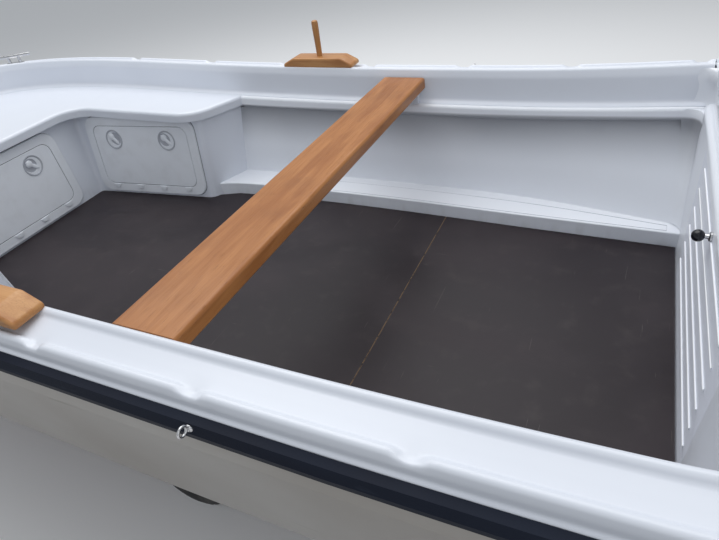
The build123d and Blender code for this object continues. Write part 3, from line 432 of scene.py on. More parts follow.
@dataclass(frozen=True)
class CreamHull:
    """The hull: scuffed cream topsides darkened by painted shade, red-brown paint below them and bare
    laminate inside.

    What faces upward counts as inside.
    """

    # Painted shade: cream and pale are darker than the cream gelcoat's own colour, standing for the shade the
    # topsides lie in.
    cream: Point = (0.37, 0.335, 0.295)
    pale: Point = (0.50, 0.475, 0.44)
    scuff: Point = (0.36, 0.34, 0.30)
    stain: Point = (0.33, 0.30, 0.24)
    bottom: Point = (0.13, 0.040, 0.026)
    faded: Point = (0.23, 0.085, 0.055)
    rubbed: Point = (0.42, 0.40, 0.36)
    laminate: Point = (0.34, 0.345, 0.33)
    fibre: Point = (0.22, 0.22, 0.20)
    waterline: float = 0.462

    def material(self) -> Material:
        """Builds the finish."""
        graph = Graph("cream_hull")
        height = graph.axis(Axis.Z)
        clouds = graph.noise(1.7, 4.0).ramp(0.3, 0.75)
        colour = graph.blend(clouds, self.cream, self.pale)
        scuffs = graph.noise(30.0, 5.0, (0.12, 0.3, 1.0)).ramp(0.66, 0.74)
        colour = graph.blend(scuffs * 0.35, colour, self.scuff)
        runs = graph.noise(24.0, 3.0, (1.0, 1.0, 0.08)).ramp(0.55, 0.8) * height.ramp(0.70, 0.50)
        colour = graph.blend(runs * 0.25, colour, self.stain)
        edge = height + (graph.noise(60.0, 2.0) - 0.5) * 0.002
        facing = graph.add("ShaderNodeNewGeometry", output="Normal")
        inside = graph.add("ShaderNodeSeparateXYZ", inputs={0: facing}, output="Z").ramp(0.02, 0.06)
        painted = edge.ramp(self.waterline + 0.001, self.waterline - 0.001) * (1.0 - inside)
        patch = graph.noise(13.0, 5.0).ramp(0.35, 0.7)
        coating = graph.blend(patch, self.bottom, self.faded)
        rubs = graph.noise(42.0, 6.0).ramp(0.62, 0.72) * height.ramp(0.42, 0.36)
        coating = graph.blend(rubs * 0.6, coating, self.rubbed)
        colour = graph.blend(painted, colour, coating)
        fibres = graph.noise(90.0, 4.0, (1.0, 0.4, 1.0)).ramp(0.4, 0.7)
        colour = graph.blend(inside, colour, graph.blend(fibres * 0.3, self.laminate, self.fibre))
        rough = 0.33 + painted * 0.42 + scuffs * 0.15 + inside * 0.3
        ripple = graph.noise(5.0, 2.0) + graph.noise(420.0, 2.0) * painted * 0.25
        return graph.surface(colour, rough, coat=0.12, height=ripple, relief=0.0010)


@dataclass(frozen=True)
class NavyStrake:
    """The dark navy rubbing strake, with chafed and dusty places."""

    navy: Point = (0.0045, 0.0075, 0.018)
    chafed: Point = (0.028, 0.036, 0.055)

    def material(self) -> Material:
        """Builds the finish."""
        graph = Graph("navy_strake")
        dust = graph.noise(6.0, 5.0, (0.5, 0.5, 2.0)).ramp(0.4, 0.8)
        rubs = graph.noise(70.0, 4.0, (0.1, 0.1, 1.0)).ramp(0.62, 0.72)
        colour = graph.blend(dust * 0.35 + rubs * 0.5, self.navy, self.chafed)
        grain = graph.noise(240.0, 2.0)
        return graph.surface(colour, 0.5 + dust * 0.2, height=grain, relief=0.0003, specular=0.15)


@dataclass(frozen=True)
class FilmPly:
    """Dark brown film-faced boards, clouded and scratched by feet, with a bare seam between the two."""

    brown: Point = (0.019, 0.0135, 0.017)
    cloud: Point = (0.035, 0.027, 0.031)
    fleck: Point = (0.062, 0.050, 0.050)
    scratch: Point = (0.17, 0.15, 0.14)
    edge: Point = (0.33, 0.22, 0.13)
    seam: float = BOAT_X + 0.328

    def material(self) -> Material:
        """Builds the finish."""
        graph = Graph("film_ply")
        worn = graph.noise(2.6, 6.0, (0.8, 1.2, 1.0), 0.6).ramp(0.38, 0.68)
        colour = graph.blend(worn, self.brown, self.cloud)
        fine = graph.noise(16.0, 6.0).ramp(0.5, 0.8)
        colour = graph.blend(fine * 0.3, colour, self.fleck)
        lines = (graph.noise(190.0, 2.0, (1.0, 0.03, 1.0), 0.4).ramp(0.73, 0.76)
                 + graph.noise(170.0, 2.0, (0.04, 1.0, 1.0), 0.5).ramp(0.75, 0.78))
        colour = graph.blend(lines * 0.35, colour, self.scratch)
        seam = abs(graph.axis(Axis.X) - self.seam).ramp(0.0017, 0.0009)
        broken = graph.noise(95.0, 4.0, (0.3, 1.0, 1.0)).ramp(0.34, 0.48)
        colour = graph.blend(seam * broken, colour, self.edge)
        rough = 0.42 + worn * 0.14 + seam * 0.2
        return graph.surface(colour, rough, height=graph.noise(600.0, 2.0), relief=0.0002, specular=0.28)


@dataclass(frozen=True)
class Timber:
    """Oiled or varnished wood with its grain along one axis."""

    name: str
    light: Point
    dark: Point
    pore: Point
    along: Axis = Axis.Y
    coat: float = 0.08
    slow_bands: float = 0.10
    long_fibres: float = 0.03

    def material(self) -> Material:
        """Builds the finish."""
        graph = Graph(self.name)
        stretch = tuple(self.slow_bands if axis is self.along else 1.0 for axis in Axis)
        streak = tuple(self.long_fibres if axis is self.along else 1.0 for axis in Axis)
        bands = graph.noise(34.0, 4.0, stretch, 0.8).ramp(0.3, 0.72)
        colour = graph.blend(bands, self.light, self.dark)
        fibres = graph.noise(420.0, 3.0, streak).ramp(0.4, 0.75)
        colour = graph.blend(fibres * 0.42, colour, self.dark)
        pores = graph.noise(900.0, 2.0, streak, 0.3).ramp(0.66, 0.72)
        colour = graph.blend(pores * 0.6, colour, self.pore)
        blotch = graph.noise(7.0, 3.0).ramp(0.45, 0.8)
        colour = graph.blend(blotch * 0.25, colour, self.pore)
        rough = 0.34 + fibres * 0.14 + pores * 0.1
        relief = fibres * 0.4 - pores
        return graph.surface(colour, rough, coat=self.coat, height=relief, relief=0.00025, specular=0.3)


@dataclass(frozen=True)
class Metal:
    """Bare or plated metal with smears, and with zinc's flakes and some rust where it is spangled."""

    name: str
    colour: Point
    roughness: float
    spangle: float = 0.0
    dulled: float = 0.72
    rust: Point = (0.16, 0.075, 0.035)

    def material(self) -> Material:
        """Builds the finish."""
        graph = Graph(self.name)
        dull = tuple(self.dulled * c for c in self.colour)
        smears = graph.noise(38.0, 5.0).ramp(0.35, 0.75)
        colour = graph.blend(smears * 0.5, self.colour, dull)
        rough = self.roughness + smears * 0.12
        if self.spangle:
            flakes = graph.cells(130.0)
            colour = graph.blend(self.spangle, colour, flakes)
            grey = graph.add("ShaderNodeHueSaturation", inputs={"Saturation": 0.03, "Color": colour})
            spots = graph.noise(21.0, 6.0).ramp(0.66, 0.78)
            colour = graph.blend(spots * 0.55, grey, self.rust)
            grain = graph.noise(170.0, 3.0)
            return graph.surface(colour, rough + spots * 0.3, 0.85, height=grain, relief=0.0002)
        return graph.surface(colour, rough, 1.0)


@dataclass(frozen=True)
class Moulded:
    """A plain moulded plastic, paint, rubber or cloth with dust on it."""

    name: str
    colour: Point
    sheen: Sheen = Sheen.SATIN
    grain: float = 300.0
    relief: float = 0.0002
    dust: Point = (0.30, 0.28, 0.25)
    dusty: float = 0.25
    cloth: float = 0.0

    def material(self) -> Material:
        """Builds the finish."""
        graph = Graph(self.name)
        rough, coat = self.sheen.value
        dust = graph.noise(17.0, 5.0).ramp(0.42, 0.8)
        colour = graph.blend(dust * self.dusty, self.colour, self.dust)
        height = graph.noise(self.grain, 3.0)
        rough = rough + dust * 0.15
        return graph.surface(colour, rough, 0.0, coat, height, self.relief, self.cloth)


@dataclass
class Finishes:
    """Every material of the boat and trolley, by the name that the pieces use."""

    white: Material = field(default_factory=WhiteGelcoat().material)
    # The side walls take a copy of the white gelcoat painted lighter than it, standing in for light, with
    # painted shade under the ledge.
    wall: Material = field(default_factory=WhiteGelcoat(
        "side_wall_gelcoat", (0.87, 0.90, 0.955), (0.80, 0.83, 0.89), painted_shade_weight=0.9).material)
    panel: Material = field(default_factory=RibbedPanel().material)
    hull: Material = field(default_factory=CreamHull().material)
    strake: Material = field(default_factory=NavyStrake().material)
    boards: Material = field(default_factory=FilmPly().material)
    mahogany: Material = field(default_factory=Timber(
        "mahogany", (0.48, 0.205, 0.067), (0.34, 0.125, 0.034), (0.14, 0.048, 0.018)).material)
    thole: Material = field(default_factory=Timber(
        "thole_wood", (0.60, 0.31, 0.12), (0.44, 0.19, 0.065), (0.20, 0.075, 0.03), Axis.X, 0.2).material)
    pin: Material = field(default_factory=Timber(
        "pin_wood", (0.56, 0.28, 0.10), (0.40, 0.17, 0.06), (0.17, 0.065, 0.025), Axis.Z, 0.2).material)
    stainless: Material = field(default_factory=Metal(
        "stainless", (0.66, 0.66, 0.67), 0.16).material)
    zinc: Material = field(default_factory=Metal(
        "galvanised", (0.48, 0.50, 0.52), 0.42, 0.22).material)
    # Painted shade: a darker grey for the wire that stands for the shade in the steps' sunk outline.
    groove: Material = field(default_factory=Moulded(
        "panel_outline", (0.50, 0.53, 0.59), Sheen.DULL, dusty=0.1).material)
    latch: Material = field(default_factory=Moulded(
        "latch_plastic", (0.82, 0.85, 0.90), dusty=0.1).material)
    # Painted shade: the latch dishes are a darker grey than the latch plastic, standing for the shade in a
    # deep bowl.
    dish: Material = field(default_factory=Moulded(
        "latch_dish", (0.43, 0.45, 0.50), dusty=0.1).material)
    # The seal's dark grey is partly the rubber's own and partly painted shade for the lid's gap; the same
    # finish paints a contact shadow round each frame.
    seal: Material = field(default_factory=Moulded(
        "hatch_seal", (0.17, 0.18, 0.20), Sheen.DULL, dusty=0.1).material)
    hatch: Material = field(default_factory=Moulded(
        "hatch_plastic", (0.82, 0.85, 0.90), Sheen.SATIN, 700.0, 0.00035, dusty=0.1).material)
    knob: Material = field(default_factory=Moulded(
        "knob_plastic", (0.004, 0.005, 0.010), Sheen.GLOSSY, dusty=0.0).material)
    tyre: Material = field(default_factory=Moulded(
        "tyre_rubber", (0.022, 0.022, 0.023), Sheen.DULL, 420.0, 0.0004, dusty=0.4).material)
    rim: Material = field(default_factory=Moulded(
        "rim_paint", (0.33, 0.34, 0.36), dusty=0.35).material)
    cap: Material = field(default_factory=Moulded(
        "hub_plastic", (0.025, 0.025, 0.028)).material)
    carpet: Material = field(default_factory=Moulded(
        "bunk_carpet", (0.040, 0.042, 0.048), Sheen.FLAT, 850.0, 0.0016, dusty=0.3, cloth=0.5).material)
    grip: Material = field(default_factory=Moulded(
        "grip_rubber", (0.020, 0.020, 0.021), Sheen.DULL).material)
    wear: Material = field(default_factory=Moulded(
        "keel_plastic", (0.40, 0.38, 0.34), Sheen.DULL, 120.0, 0.0006, dusty=0.5).material)


# Mesh tools

MERGED = 1e-6
"""Points of a solid nearer than this are taken as one, in metres."""
FLAT = math.radians(0.3)
"""Faces of a solid that lean less than this from each other are taken as one."""
SHARP = math.radians(18)
"""Edges of a solid that turn less than this aren't rounded."""


def linked(name: str, data: bpy.types.ID) -> Object:
    """Makes an object of some data and links it to the scene.

    Args:
        name: The object's name.
        data: Its mesh, light or camera.

    Returns:
        The object.
    """
    made = bpy.data.objects.new(name, data)
    bpy.context.scene.collection.objects.link(made)
    return made


def mesh_object(name: str, points: Iterable[Sequence[float]], faces: Iterable[Sequence[int]]) -> Object:
    """Makes an object from points and faces.

    Args:
        name: The object's name.
        points: Its points in the frame, in metres.
        faces: Point numbers of each face.

    Returns:
        The object, linked to the scene.
    """
    mesh = bpy.data.meshes.new(name)
    mesh.from_pydata([tuple(p) for p in points], [], [tuple(f) for f in faces])
    mesh.update()
    return linked(name, mesh)


def from_bmesh(name: str, built: bmesh.types.BMesh, outward: bool = True) -> Object:
    """Makes an object from an edit mesh.

    Args:
        name: The object's name.
        built: The edit mesh, which is freed.
        outward: Whether its normals are turned outward first.

    Returns:
        The object.
    """
    if outward:
        bmesh.ops.recalc_face_normals(built, faces=built.faces)
    mesh = bpy.data.meshes.new(name)
    built.to_mesh(mesh)
    built.free()
    return linked(name, mesh)


def smooth(obj: Object, degrees: float = 35.0) -> Object:
    """Shades an object smooth except over sharp edges.

    Args:
        obj: The object.
        degrees: The angle from which an edge stays sharp.

    Returns:
        The same object.
    """
    obj.data.shade_smooth()
    obj.data.set_sharp_from_angle(angle=math.radians(degrees))
    return obj


def rounded(obj: Object, width: float, segments: int, degrees: float) -> Object:
    """Rounds an object's sharp edges.

    Args:
        obj: The object.
        width: The rounding's width in metres.
        segments: Steps over it.
        degrees: The angle from which an edge is rounded.

    Returns:
        The same object.
    """
    bevel = obj.modifiers.new("rounding", "BEVEL")
    bevel.width = width
    bevel.segments = segments
    bevel.limit_method = "ANGLE"
    bevel.angle_limit = math.radians(degrees)
    bevel.harden_normals = False
    return smooth(obj, 50.0)


def frame_of(origin: Vector, forward: Vector, upward: Vector) -> Matrix:
    """A placing whose Z runs forward and whose Y runs as near upward as it can.

    Args:
        origin: The origin.
        forward: Direction of the local Z.
        upward: Rough direction of the local Y.

    Returns:
        The matrix.
    """
    z = forward.normalized()
    x = upward.cross(z).normalized()
    y = z.cross(x)
    return Matrix.Translation(origin) @ Matrix((x, y, z)).transposed().to_4x4()


def around(steps: int) -> list[Pair]:
    """Cosine and sine at even steps round a turn."""
    angles = [2 * math.pi * i / steps for i in range(steps)]
    return [(math.cos(angle), math.sin(angle)) for angle in angles]


def hollow(start: Vector, corner: Vector, end: Vector, share: float) -> Vector:
    """A point of the curve that leaves a corner out.

    Args:
        start: The curve's start.
        corner: The corner that it bends towards.
        end: Its end.
        share: How far along it the point is, from 0 to 1.

    Returns:
        The point.
    """
    return start * (1 - share) ** 2 + corner * (2 * share * (1 - share)) + end * share ** 2


def turned(name: str, profile: Sequence[Pair], steps: int, place: Matrix) -> Object:
    """Turns a profile round the local Z.

    Args:
        name: The object's name.
        profile: Radius and height of each point; a radius of 0 closes an end.
        steps: Steps round the turn.
        place: Where the local axes go.

    Returns:
        The object.
    """
    built = bmesh.new()
    rings = []
    for radius, height in profile:
        spots = [(radius * c, radius * s) for c, s in around(steps)] if radius > 0 else [(0.0, 0.0)]
        rings.append([built.verts.new(place @ Vector((x, y, height))) for x, y in spots])
    for low, high in zip(rings, rings[1:]):
        for i in range(steps):
            here, there = low[i % len(low)], high[i % len(high)]
            unique = list(dict.fromkeys((here, low[(i + 1) % len(low)], high[(i + 1) % len(high)], there)))
            if len(unique) > 2:
                built.faces.new(unique)
    return smooth(from_bmesh(name, built))


def wire_ring(name: str, path: Sequence[Vector], radius: float, steps: int) -> Object:
    """A round wire along a path that ends where it starts.

    Args:
        name: The object's name.
        path: Points of its middle line.
        radius: Its radius in metres.
        steps: Steps round the wire.

    Returns:
        The object.
    """
    built = bmesh.new()
    rings = []
    side = None
    for i, point in enumerate(path):
        along = (path[(i + 1) % len(path)] - path[i - 1]).normalized()
        if side is None:
            side = along.orthogonal().normalized()
        side = (side - along * side.dot(along)).normalized()
        other = along.cross(side)
        rings.append([built.verts.new(point + (side * c + other * s) * radius) for c, s in around(steps)])
    for low, high in zip(rings, rings[1:] + rings[:1]):
        for k in range(steps):
            built.faces.new((low[k], low[(k + 1) % steps], high[(k + 1) % steps], high[k]))
    return smooth(from_bmesh(name, built), 60.0)


def skin_over(name: str, rings: Sequence[Sequence[Vector]], degrees: float = 40.0) -> Object:
    """A closed skin over rings of as many points each, with flat ends.

    Args:
        name: The object's name.
        rings: The rings in order.
        degrees: The angle from which an edge stays sharp.

    Returns:
        The object.
    """
    built = bmesh.new()
    rows = [[built.verts.new(point) for point in ring] for ring in rings]
    for low, high in zip(rows, rows[1:]):
        count = len(low)
        for k in range(count):
            built.faces.new((low[k], low[(k + 1) % count], high[(k + 1) % count], high[k]))
    built.faces.new(rows[0])
    built.faces.new(rows[-1])
    return smooth(from_bmesh(name, built), degrees)


@dataclass(frozen=True)
class Edge:
    """An edge of a solid: its middle in the boat's own axes and its faces' normals, mirrored to port."""

    spot: Vector
    normals: tuple[Vector, Vector]
    convex: bool

    @property
    def upper(self) -> float:
        """Z of the normal that points higher."""
        return max(normal.z for normal in self.normals)

    @property
    def lower(self) -> float:
        """Z of the normal that points lower."""
        return min(normal.z for normal in self.normals)

    @property
    def inboard(self) -> float:
        """Y of the normal that points further inboard."""
        return min(normal.y for normal in self.normals)


@dataclass(frozen=True)
class Softening:
    """Edges of a solid that are rounded: the rounding's width and steps, and which edges it takes."""

    width: float
    segments: int
    pick: Callable[[Edge], bool]


def softened(node: Object, name: str, roundings: Sequence[Softening]) -> Object:
    """Copies a solid with some of its edges rounded.

    Args:
        node: The solid's object.
        name: The copy's name.
        roundings: What is rounded, in order.

    Returns:
        The copy.
    """
    built = bmesh.new()
    built.from_mesh(node.data)
    built.transform(node.matrix_world)
    bmesh.ops.remove_doubles(built, verts=built.verts, dist=MERGED)
    bmesh.ops.dissolve_limit(built, angle_limit=FLAT, verts=built.verts, edges=built.edges)
    for rounding in roundings:
        edges = []
        for edge in built.edges:
            if len(edge.link_faces) != 2 or edge.calc_face_angle() < SHARP:
                continue
            middle = (edge.verts[0].co + edge.verts[1].co) / 2
            sign = 1 if middle.y >= 0 else -1
            spot = Vector((middle.x - BOAT_X, abs(middle.y), middle.z))
            normals = tuple(Vector((f.normal.x, f.normal.y * sign, f.normal.z)) for f in edge.link_faces)
            if rounding.pick(Edge(spot, normals, edge.is_convex)):
                edges.append(edge)
        bmesh.ops.bevel(built, geom=edges, offset=rounding.width, offset_type="OFFSET",
                        segments=rounding.segments, profile=0.5, affect="EDGES", clamp_overlap=True)
    made = smooth(from_bmesh(name, built), 38.0)
    weighted = made.modifiers.new("even_normals", "WEIGHTED_NORMAL")
    weighted.keep_sharp = True
    weighted.weight = 80
    return made


def joined(name: str, parts: Sequence[Object]) -> Object:
    """Joins objects into one.

    Args:
        name: The result's name.
        parts: The objects, which are removed.

    Returns:
        The joined object.
    """
    depsgraph = bpy.context.evaluated_depsgraph_get()
    bpy.context.view_layer.update()
    built = bmesh.new()
    for part in parts:
        mesh = bpy.data.meshes.new_from_object(part.evaluated_get(depsgraph))
        mesh.transform(part.matrix_world)
        built.from_mesh(mesh)
        bpy.data.meshes.remove(mesh)
    for part in parts:
        bpy.data.objects.remove(part)
    return smooth(from_bmesh(name, built, outward=False), 40.0)


def paint(obj: Object, material: Material) -> Object:
    """Gives an object one material.

    Args:
        obj: The object.
        material: The material.

    Returns:
        The same object.
    """
    obj.data.materials.clear()
    obj.data.materials.append(material)
    for polygon in obj.data.polygons:
        polygon.material_index = 0
    return obj


class Workshop:
    """What every sub-assembly shares: the frame's nodes, the finishes and how a piece is fitted."""

    def __init__(self, frame: dict, finishes: Finishes) -> None:
        """Keeps the frame and the finishes.

        Args:
            finishes: The materials.
        """
        self.nodes: dict[str, Object] = frame["nodes"]
        self.finishes = finishes

    def dress(self, node: str, material: Material, slot: str, degrees: float = 35.0) -> None:
        """Finishes a CAD node as it is.

        Args:
            node: The node's name.
            material: Its material.
            slot: The record's slot; not used.
            degrees: The angle from which an edge stays sharp.
        """
        obj = self.nodes[node]
        smooth(paint(obj, material), degrees)
        log.info("dressed %s", node)

    def fit(
        self,
        obj: Object,
        material: Material,
        slot: str,
        body: str = "boat",
        replaces: Sequence[str] = (),
    ) -> Object:
        """Finishes a built piece and puts it on its body.

        Args:
            obj: The piece.
            material: Its material.
            slot: The record's slot; not used.
            body: The body that it rides on.
            replaces: The CAD nodes that it stands for.

        Returns:
            The piece.
        """
        paint(obj, material)
        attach(obj, body)
        if replaces:
            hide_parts(*replaces)
        log.info("built %s with %d faces", obj.name, len(obj.data.polygons))
        return obj


@dataclass(frozen=True)
class Wall:
    """A solid's surface, probed by rays."""

    tree: BVHTree

    @classmethod
    def of(cls, node: Object) -> "Wall":
        """The surface of a node.

        Args:
            node: The node's object.

        Returns:
            The wall.
        """
        points = [node.matrix_world @ vertex.co for vertex in node.data.vertices]
        return cls(BVHTree.FromPolygons(points, [tuple(face.vertices) for face in node.data.polygons]))

    def hit(self, start: Vector, direction: Vector) -> Vector:
        """Where a ray first meets the surface, or its start where it misses.

        Args:
            start: The ray's start.
            direction: Its direction.

        Returns:
            The point.
        """
        found = self.tree.ray_cast(start, direction)[0]
        return found if found is not None else start


def screw_head(place: Matrix, radius: float, height: float) -> Object:
    """A pan-head screw with a round socket, its head towards the local Z.

    Args:
        place: Where its seat is.
        radius: The head's radius.
        height: The head's height.

    Returns:
        The object.
    """
    profile = [(radius, 0.0), (radius, height * 0.45), (radius * 0.8, height * 0.85), (radius * 0.45, height),
               (radius * 0.16, height), (radius * 0.12, height * 0.4), (0.0, height * 0.4)]
    return turned("screw_head", profile, 14, place)


# The boat's lines


@dataclass(frozen=True)
class Rail:
    """The toe rail's line in plan and in height, in metres, as the solids have it."""

    half_beam: float = 0.765
    stern: float = -1.935
    stern_curve: float = -0.750
    power: float = 3.3
    stem: float = 2.080
    bow_curve: float = 0.950
    sheer: float = 0.444
    stern_rise: float = 0.015
    stern_rise_from: float = 0.2
    bow_rise: float = 0.05
    bow_rise_from: float = 0.4
    own_height_from: float = 0.06
    own_height_over: float = 0.035
    fine_steps: int = 4000

    @property
    def bow_radius(self) -> float:
        """Radius of the bow's two arcs."""
        length = self.stem - self.bow_curve
        return (length ** 2 + self.half_beam ** 2) / (2 * self.half_beam)

    def height(self, x: float) -> float:
        """The rail's height above the ground at a station."""
        stern = self.stern_rise * min(0.0, x - self.stern_rise_from) ** 2
        bow = self.bow_rise * max(0.0, x - self.bow_rise_from) ** 2
        return FLOOR + self.sheer + stern + bow

    def breadth(self, x: float) -> float:
        """The rail's half breadth at a station."""
        if x < self.stern_curve:
            share = (self.stern_curve - x) / (self.stern_curve - self.stern)
            return self.half_beam * max(0.0, 1 - share ** self.power) ** (1 / self.power)
        if x > self.bow_curve:
            drop = self.bow_radius - math.sqrt(self.bow_radius ** 2 - (x - self.bow_curve) ** 2)
            return self.half_beam - drop
        return self.half_beam

    def outward(self, x: float, y: float) -> Vector:
        """Direction square to the rail on the port side, away from the boat.

        Args:
            x: The station.
            y: The half breadth there.

        Returns:
            The direction.
        """
        if x > self.bow_curve:
            return Vector((x - self.bow_curve, y + self.bow_radius - self.half_beam, 0)).normalized()
        if x < self.stern_curve:
            length = self.stern_curve - self.stern
            out_x = -(((self.stern_curve - x) / length) ** (self.power - 1)) / length
            out_y = (max(y, 0.0) / self.half_beam) ** (self.power - 1) / self.half_beam
            return Vector((out_x, out_y, 0)).normalized()
        return Vector((0, 1, 0))

    def line(self, end: float, step: float) -> list[Pair]:
        """Stations and half breadths at even steps of the rail's length, from the stern.

        They are picked from fine steps that crowd together at the stern, where the line turns across.

        Args:
            end: The last station.
            step: Length of a step.

        Returns:
            The points, in the boat's plan.
        """
        fine = []
        count = self.fine_steps
        for i in range(count + 1):
            x = self.stern + (end - self.stern) * (i / count) ** 3
            fine.append((x, self.breadth(x)))
        length = [0.0]
        for (x0, y0), (x1, y1) in zip(fine, fine[1:]):
            length.append(length[-1] + math.hypot(x1 - x0, y1 - y0))
        pieces = max(2, round(length[-1] / step))
        line = []
        k = 0
        for i in range(pieces + 1):
            target = length[-1] * i / pieces
            while k < count - 1 and length[k + 1] < target:
                k += 1
            line.append(fine[k] if i < pieces else fine[-1])
        return line

    def place(self, x: float, y: float, inboard: float, up: float) -> Vector:
        """A point beside the port rail, in the frame.

        Near the rail it takes the height of the rail's station, and further below it that of its own.

        Args:
            x: The rail's station.
            y: Its half breadth.
            inboard: Distance inboard of the rail.
            up: Height above it.

        Returns:
            The point.
        """
        spot = Vector((x, y, 0)) - self.outward(x, y) * inboard
        own = min(1.0, max(0.0, (-self.own_height_from - up) / self.own_height_over))
        return Vector((BOAT_X + spot.x, spot.y, self.height(x + (spot.x - x) * own) + up))


RAIL = Rail()


def round_line(points: Sequence[Pair], radii: Sequence[float], steps: int) -> list[Pair]:
    """Rounds the corners of an open line.

    Args:
        points: The line's corners.
        radii: A reach of rounding for each inner corner.
        steps: Steps over each corner.

    Returns:
        The rounded line.
    """
    line = [points[0]]
    for i in range(1, len(points) - 1):
        corner = Vector(points[i])
        before = Vector(points[i - 1]) - corner
        after = Vector(points[i + 1]) - corner
        reach = min(radii[i - 1], before.length * 0.48, after.length * 0.48)
        start = corner + before.normalized() * reach
        end = corner + after.normalized() * reach
        for k in range(steps + 1):
            line.append(tuple(hollow(start, corner, end, k / steps)))
    line.append(points[-1])
    return line


# Sub-assemblies


@dataclass
class OuterHull:
    """The hull, its keel band, the strake and what is screwed to them.

    Only the keel band's level stretch is screwed from here, since it rises towards the stern and the bow.
    """

    shop: Workshop
    first_screw: float = 0.25
    screw_pitch: float = 0.24
    level_stretch: Pair = (-1.0, 0.7)
    drain_radius: float = 0.019
    drain_level: float = 0.475

    def build(self) -> None:
        """Dresses the hull's nodes and adds its fastenings."""
        finishes = self.shop.finishes
        self.shop.dress("hull_shell", finishes.hull, "hull_gelcoat", 24.0)
        self.shop.dress("keel_band", finishes.wear, "keel_plastic")
        self.shop.dress("rub_strake", finishes.strake, "strake_pvc", 30.0)
        self.keel_screws()
        self.drain_plug()

    def keel_screws(self) -> None:
        """Low-headed screws along the keel band."""
        low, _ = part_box("keel_band")
        aft, ahead = self.level_stretch
        heads = []
        x = low.x + self.first_screw
        while x < ahead:
            if x > aft:
                place = frame_of(Vector((x, 0, low.z + 0.0004)), Vector((0, 0, -1)), Vector((1, 0, 0)))
                heads.append(screw_head(place, 0.004, 0.001))
            x += self.screw_pitch
        self.shop.fit(joined("keel_band_screws", heads), self.shop.finishes.stainless, "stainless")

    def drain_plug(self) -> None:
        """A screwed drain plug low on the transom."""
        low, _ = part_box("hull_shell")
        place = frame_of(Vector((low.x, 0.0, self.drain_level)), Vector((-1, 0, 0)), Vector((0, 0, 1)))
        r = self.drain_radius
        flange = turned("drain_plug", [(r, -0.002), (r, 0.003), (r * 0.9, 0.0045), (r * 0.55, 0.0045),
                                       (r * 0.5, 0.009), (r * 0.42, 0.010), (0, 0.010)], 32, place)
        self.shop.fit(flange, self.shop.finishes.cap, "hub_plastic")


@dataclass
class DeckEdge:
    """The white gunwale moulding with its interrupted toe rail, and the foredeck."""

    shop: Workshop
    notches: tuple[float, ...] = (-1.16, -0.76, -0.385, -0.03, 0.32, 0.672, 1.03)
    notch_length: float = 0.030
    notch_ramp: float = 0.0055
    notch_depth: float = 0.0098
    stern_half: float = 0.5
    seam_reach: float = 0.0002
    laminate: float = 0.005
    step: float = 0.011
    end: float = 1.0637

    def toe_height(self, x: float, y: float) -> float:
        """How much of the toe rail stands at a station, from 0 in a gap to 1.

        Across the stern, where the half breadth is small, it has no gaps.

        Args:
            x: The station.
            y: The half breadth.

        Returns:
            The share.
        """
        if y < self.stern_half:
            return 1.0
        nearest = min(abs(x - notch) for notch in self.notches)
        share = (nearest - self.notch_length / 2) / self.notch_ramp
        share = min(1.0, max(0.0, share))
        return share * share * (3 - 2 * share)

    def section(self, toe: float) -> list[Pair]:
        """Outer line of the moulding, in metres inboard of the rail and above it.

        Args:
            toe: How much of the toe rail stands.

        Returns:
            The line.
        """
        top = -self.notch_depth * (1 - toe)
        points = [(-0.012, -0.0657), (-0.012, -0.0295), (-0.006, -0.025), (-0.004, -0.0135),
                  (0.000, -0.0035 + top * 0.55), (0.0055, top), (0.0115, -0.0008 + top),
                  (0.018, -0.0080 - 0.0006 * (1 - toe)), (0.040, -0.0037), (0.064, 0.001), (0.0695, 0.0085),
                  (0.0765, 0.0112), (0.0835, 0.0065), (0.092, -0.016), (0.0990, -0.0905), (0.1160, -0.0974)]
        radii = [0.003, 0.003, 0.004, 0.004, 0.004, 0.003, 0.004, 0.004, 0.006, 0.004, 0.004, 0.005, 0.006,
                 0.014]
        return round_line(points, radii, 4)

    def build(self) -> None:
        """Builds the gunwale on each side and dresses the foredeck."""
        line = RAIL.line(self.end, self.step)
        points: list[Vector] = []
        faces: list[tuple[int, ...]] = []
        count = 0
        for side in Side:
            first = len(points)
            for x, y in line:
                outer = self.section(self.toe_height(x, y))
                inner = self.inner(outer)
                ring = outer + inner[::-1]
                count = len(ring)
                for u, v in ring:
                    spot = RAIL.place(x, y, u, v)
                    points.append(Vector((spot.x, spot.y * side.value, spot.z)))
            rows = len(line)
            for i in range(rows - 1):
                for k in range(count):
                    a = first + i * count + k
                    b = first + i * count + (k + 1) % count
                    faces.append((a, b, b + count, a + count))
            half = count // 2
            last = first + (rows - 1) * count
            for k in range(half - 1):
                faces.append((last + k, last + k + 1, last + count - 2 - k, last + count - 1 - k))
        made = mesh_object("gunwale_moulding_skin", points, faces)
        built = bmesh.new()
        built.from_mesh(made.data)
        bmesh.ops.remove_doubles(built, verts=built.verts, dist=self.seam_reach)
        bmesh.ops.recalc_face_normals(built, faces=built.faces)
        built.to_mesh(made.data)
        built.free()
        smooth(made, 50.0)
        self.shop.fit(made, self.shop.finishes.white, "deck_gelcoat", replaces=["gunwale_moulding"])
        self.shop.dress("foredeck", self.shop.finishes.white, "deck_gelcoat", 30.0)

    def inner(self, outer: Sequence[Pair]) -> list[Pair]:
        """The laminate's inner line.

        Args:
            outer: Its outer line.

        Returns:
            A line of the same number of points.
        """
        normals = []
        for (x0, y0), (x1, y1) in zip(outer, outer[1:]):
            run = math.hypot(x1 - x0, y1 - y0) or 1e-9
            normals.append(((y1 - y0) / run, (x0 - x1) / run))
        moved = []
        for i, (x, y) in enumerate(outer):
            a = normals[max(0, i - 1)]
            b = normals[min(len(normals) - 1, i)]
            scale = self.laminate / max(0.6, 1 + a[0] * b[0] + a[1] * b[1])
            moved.append((x + (a[0] + b[0]) * scale, y + (a[1] + b[1]) * scale))
        return moved


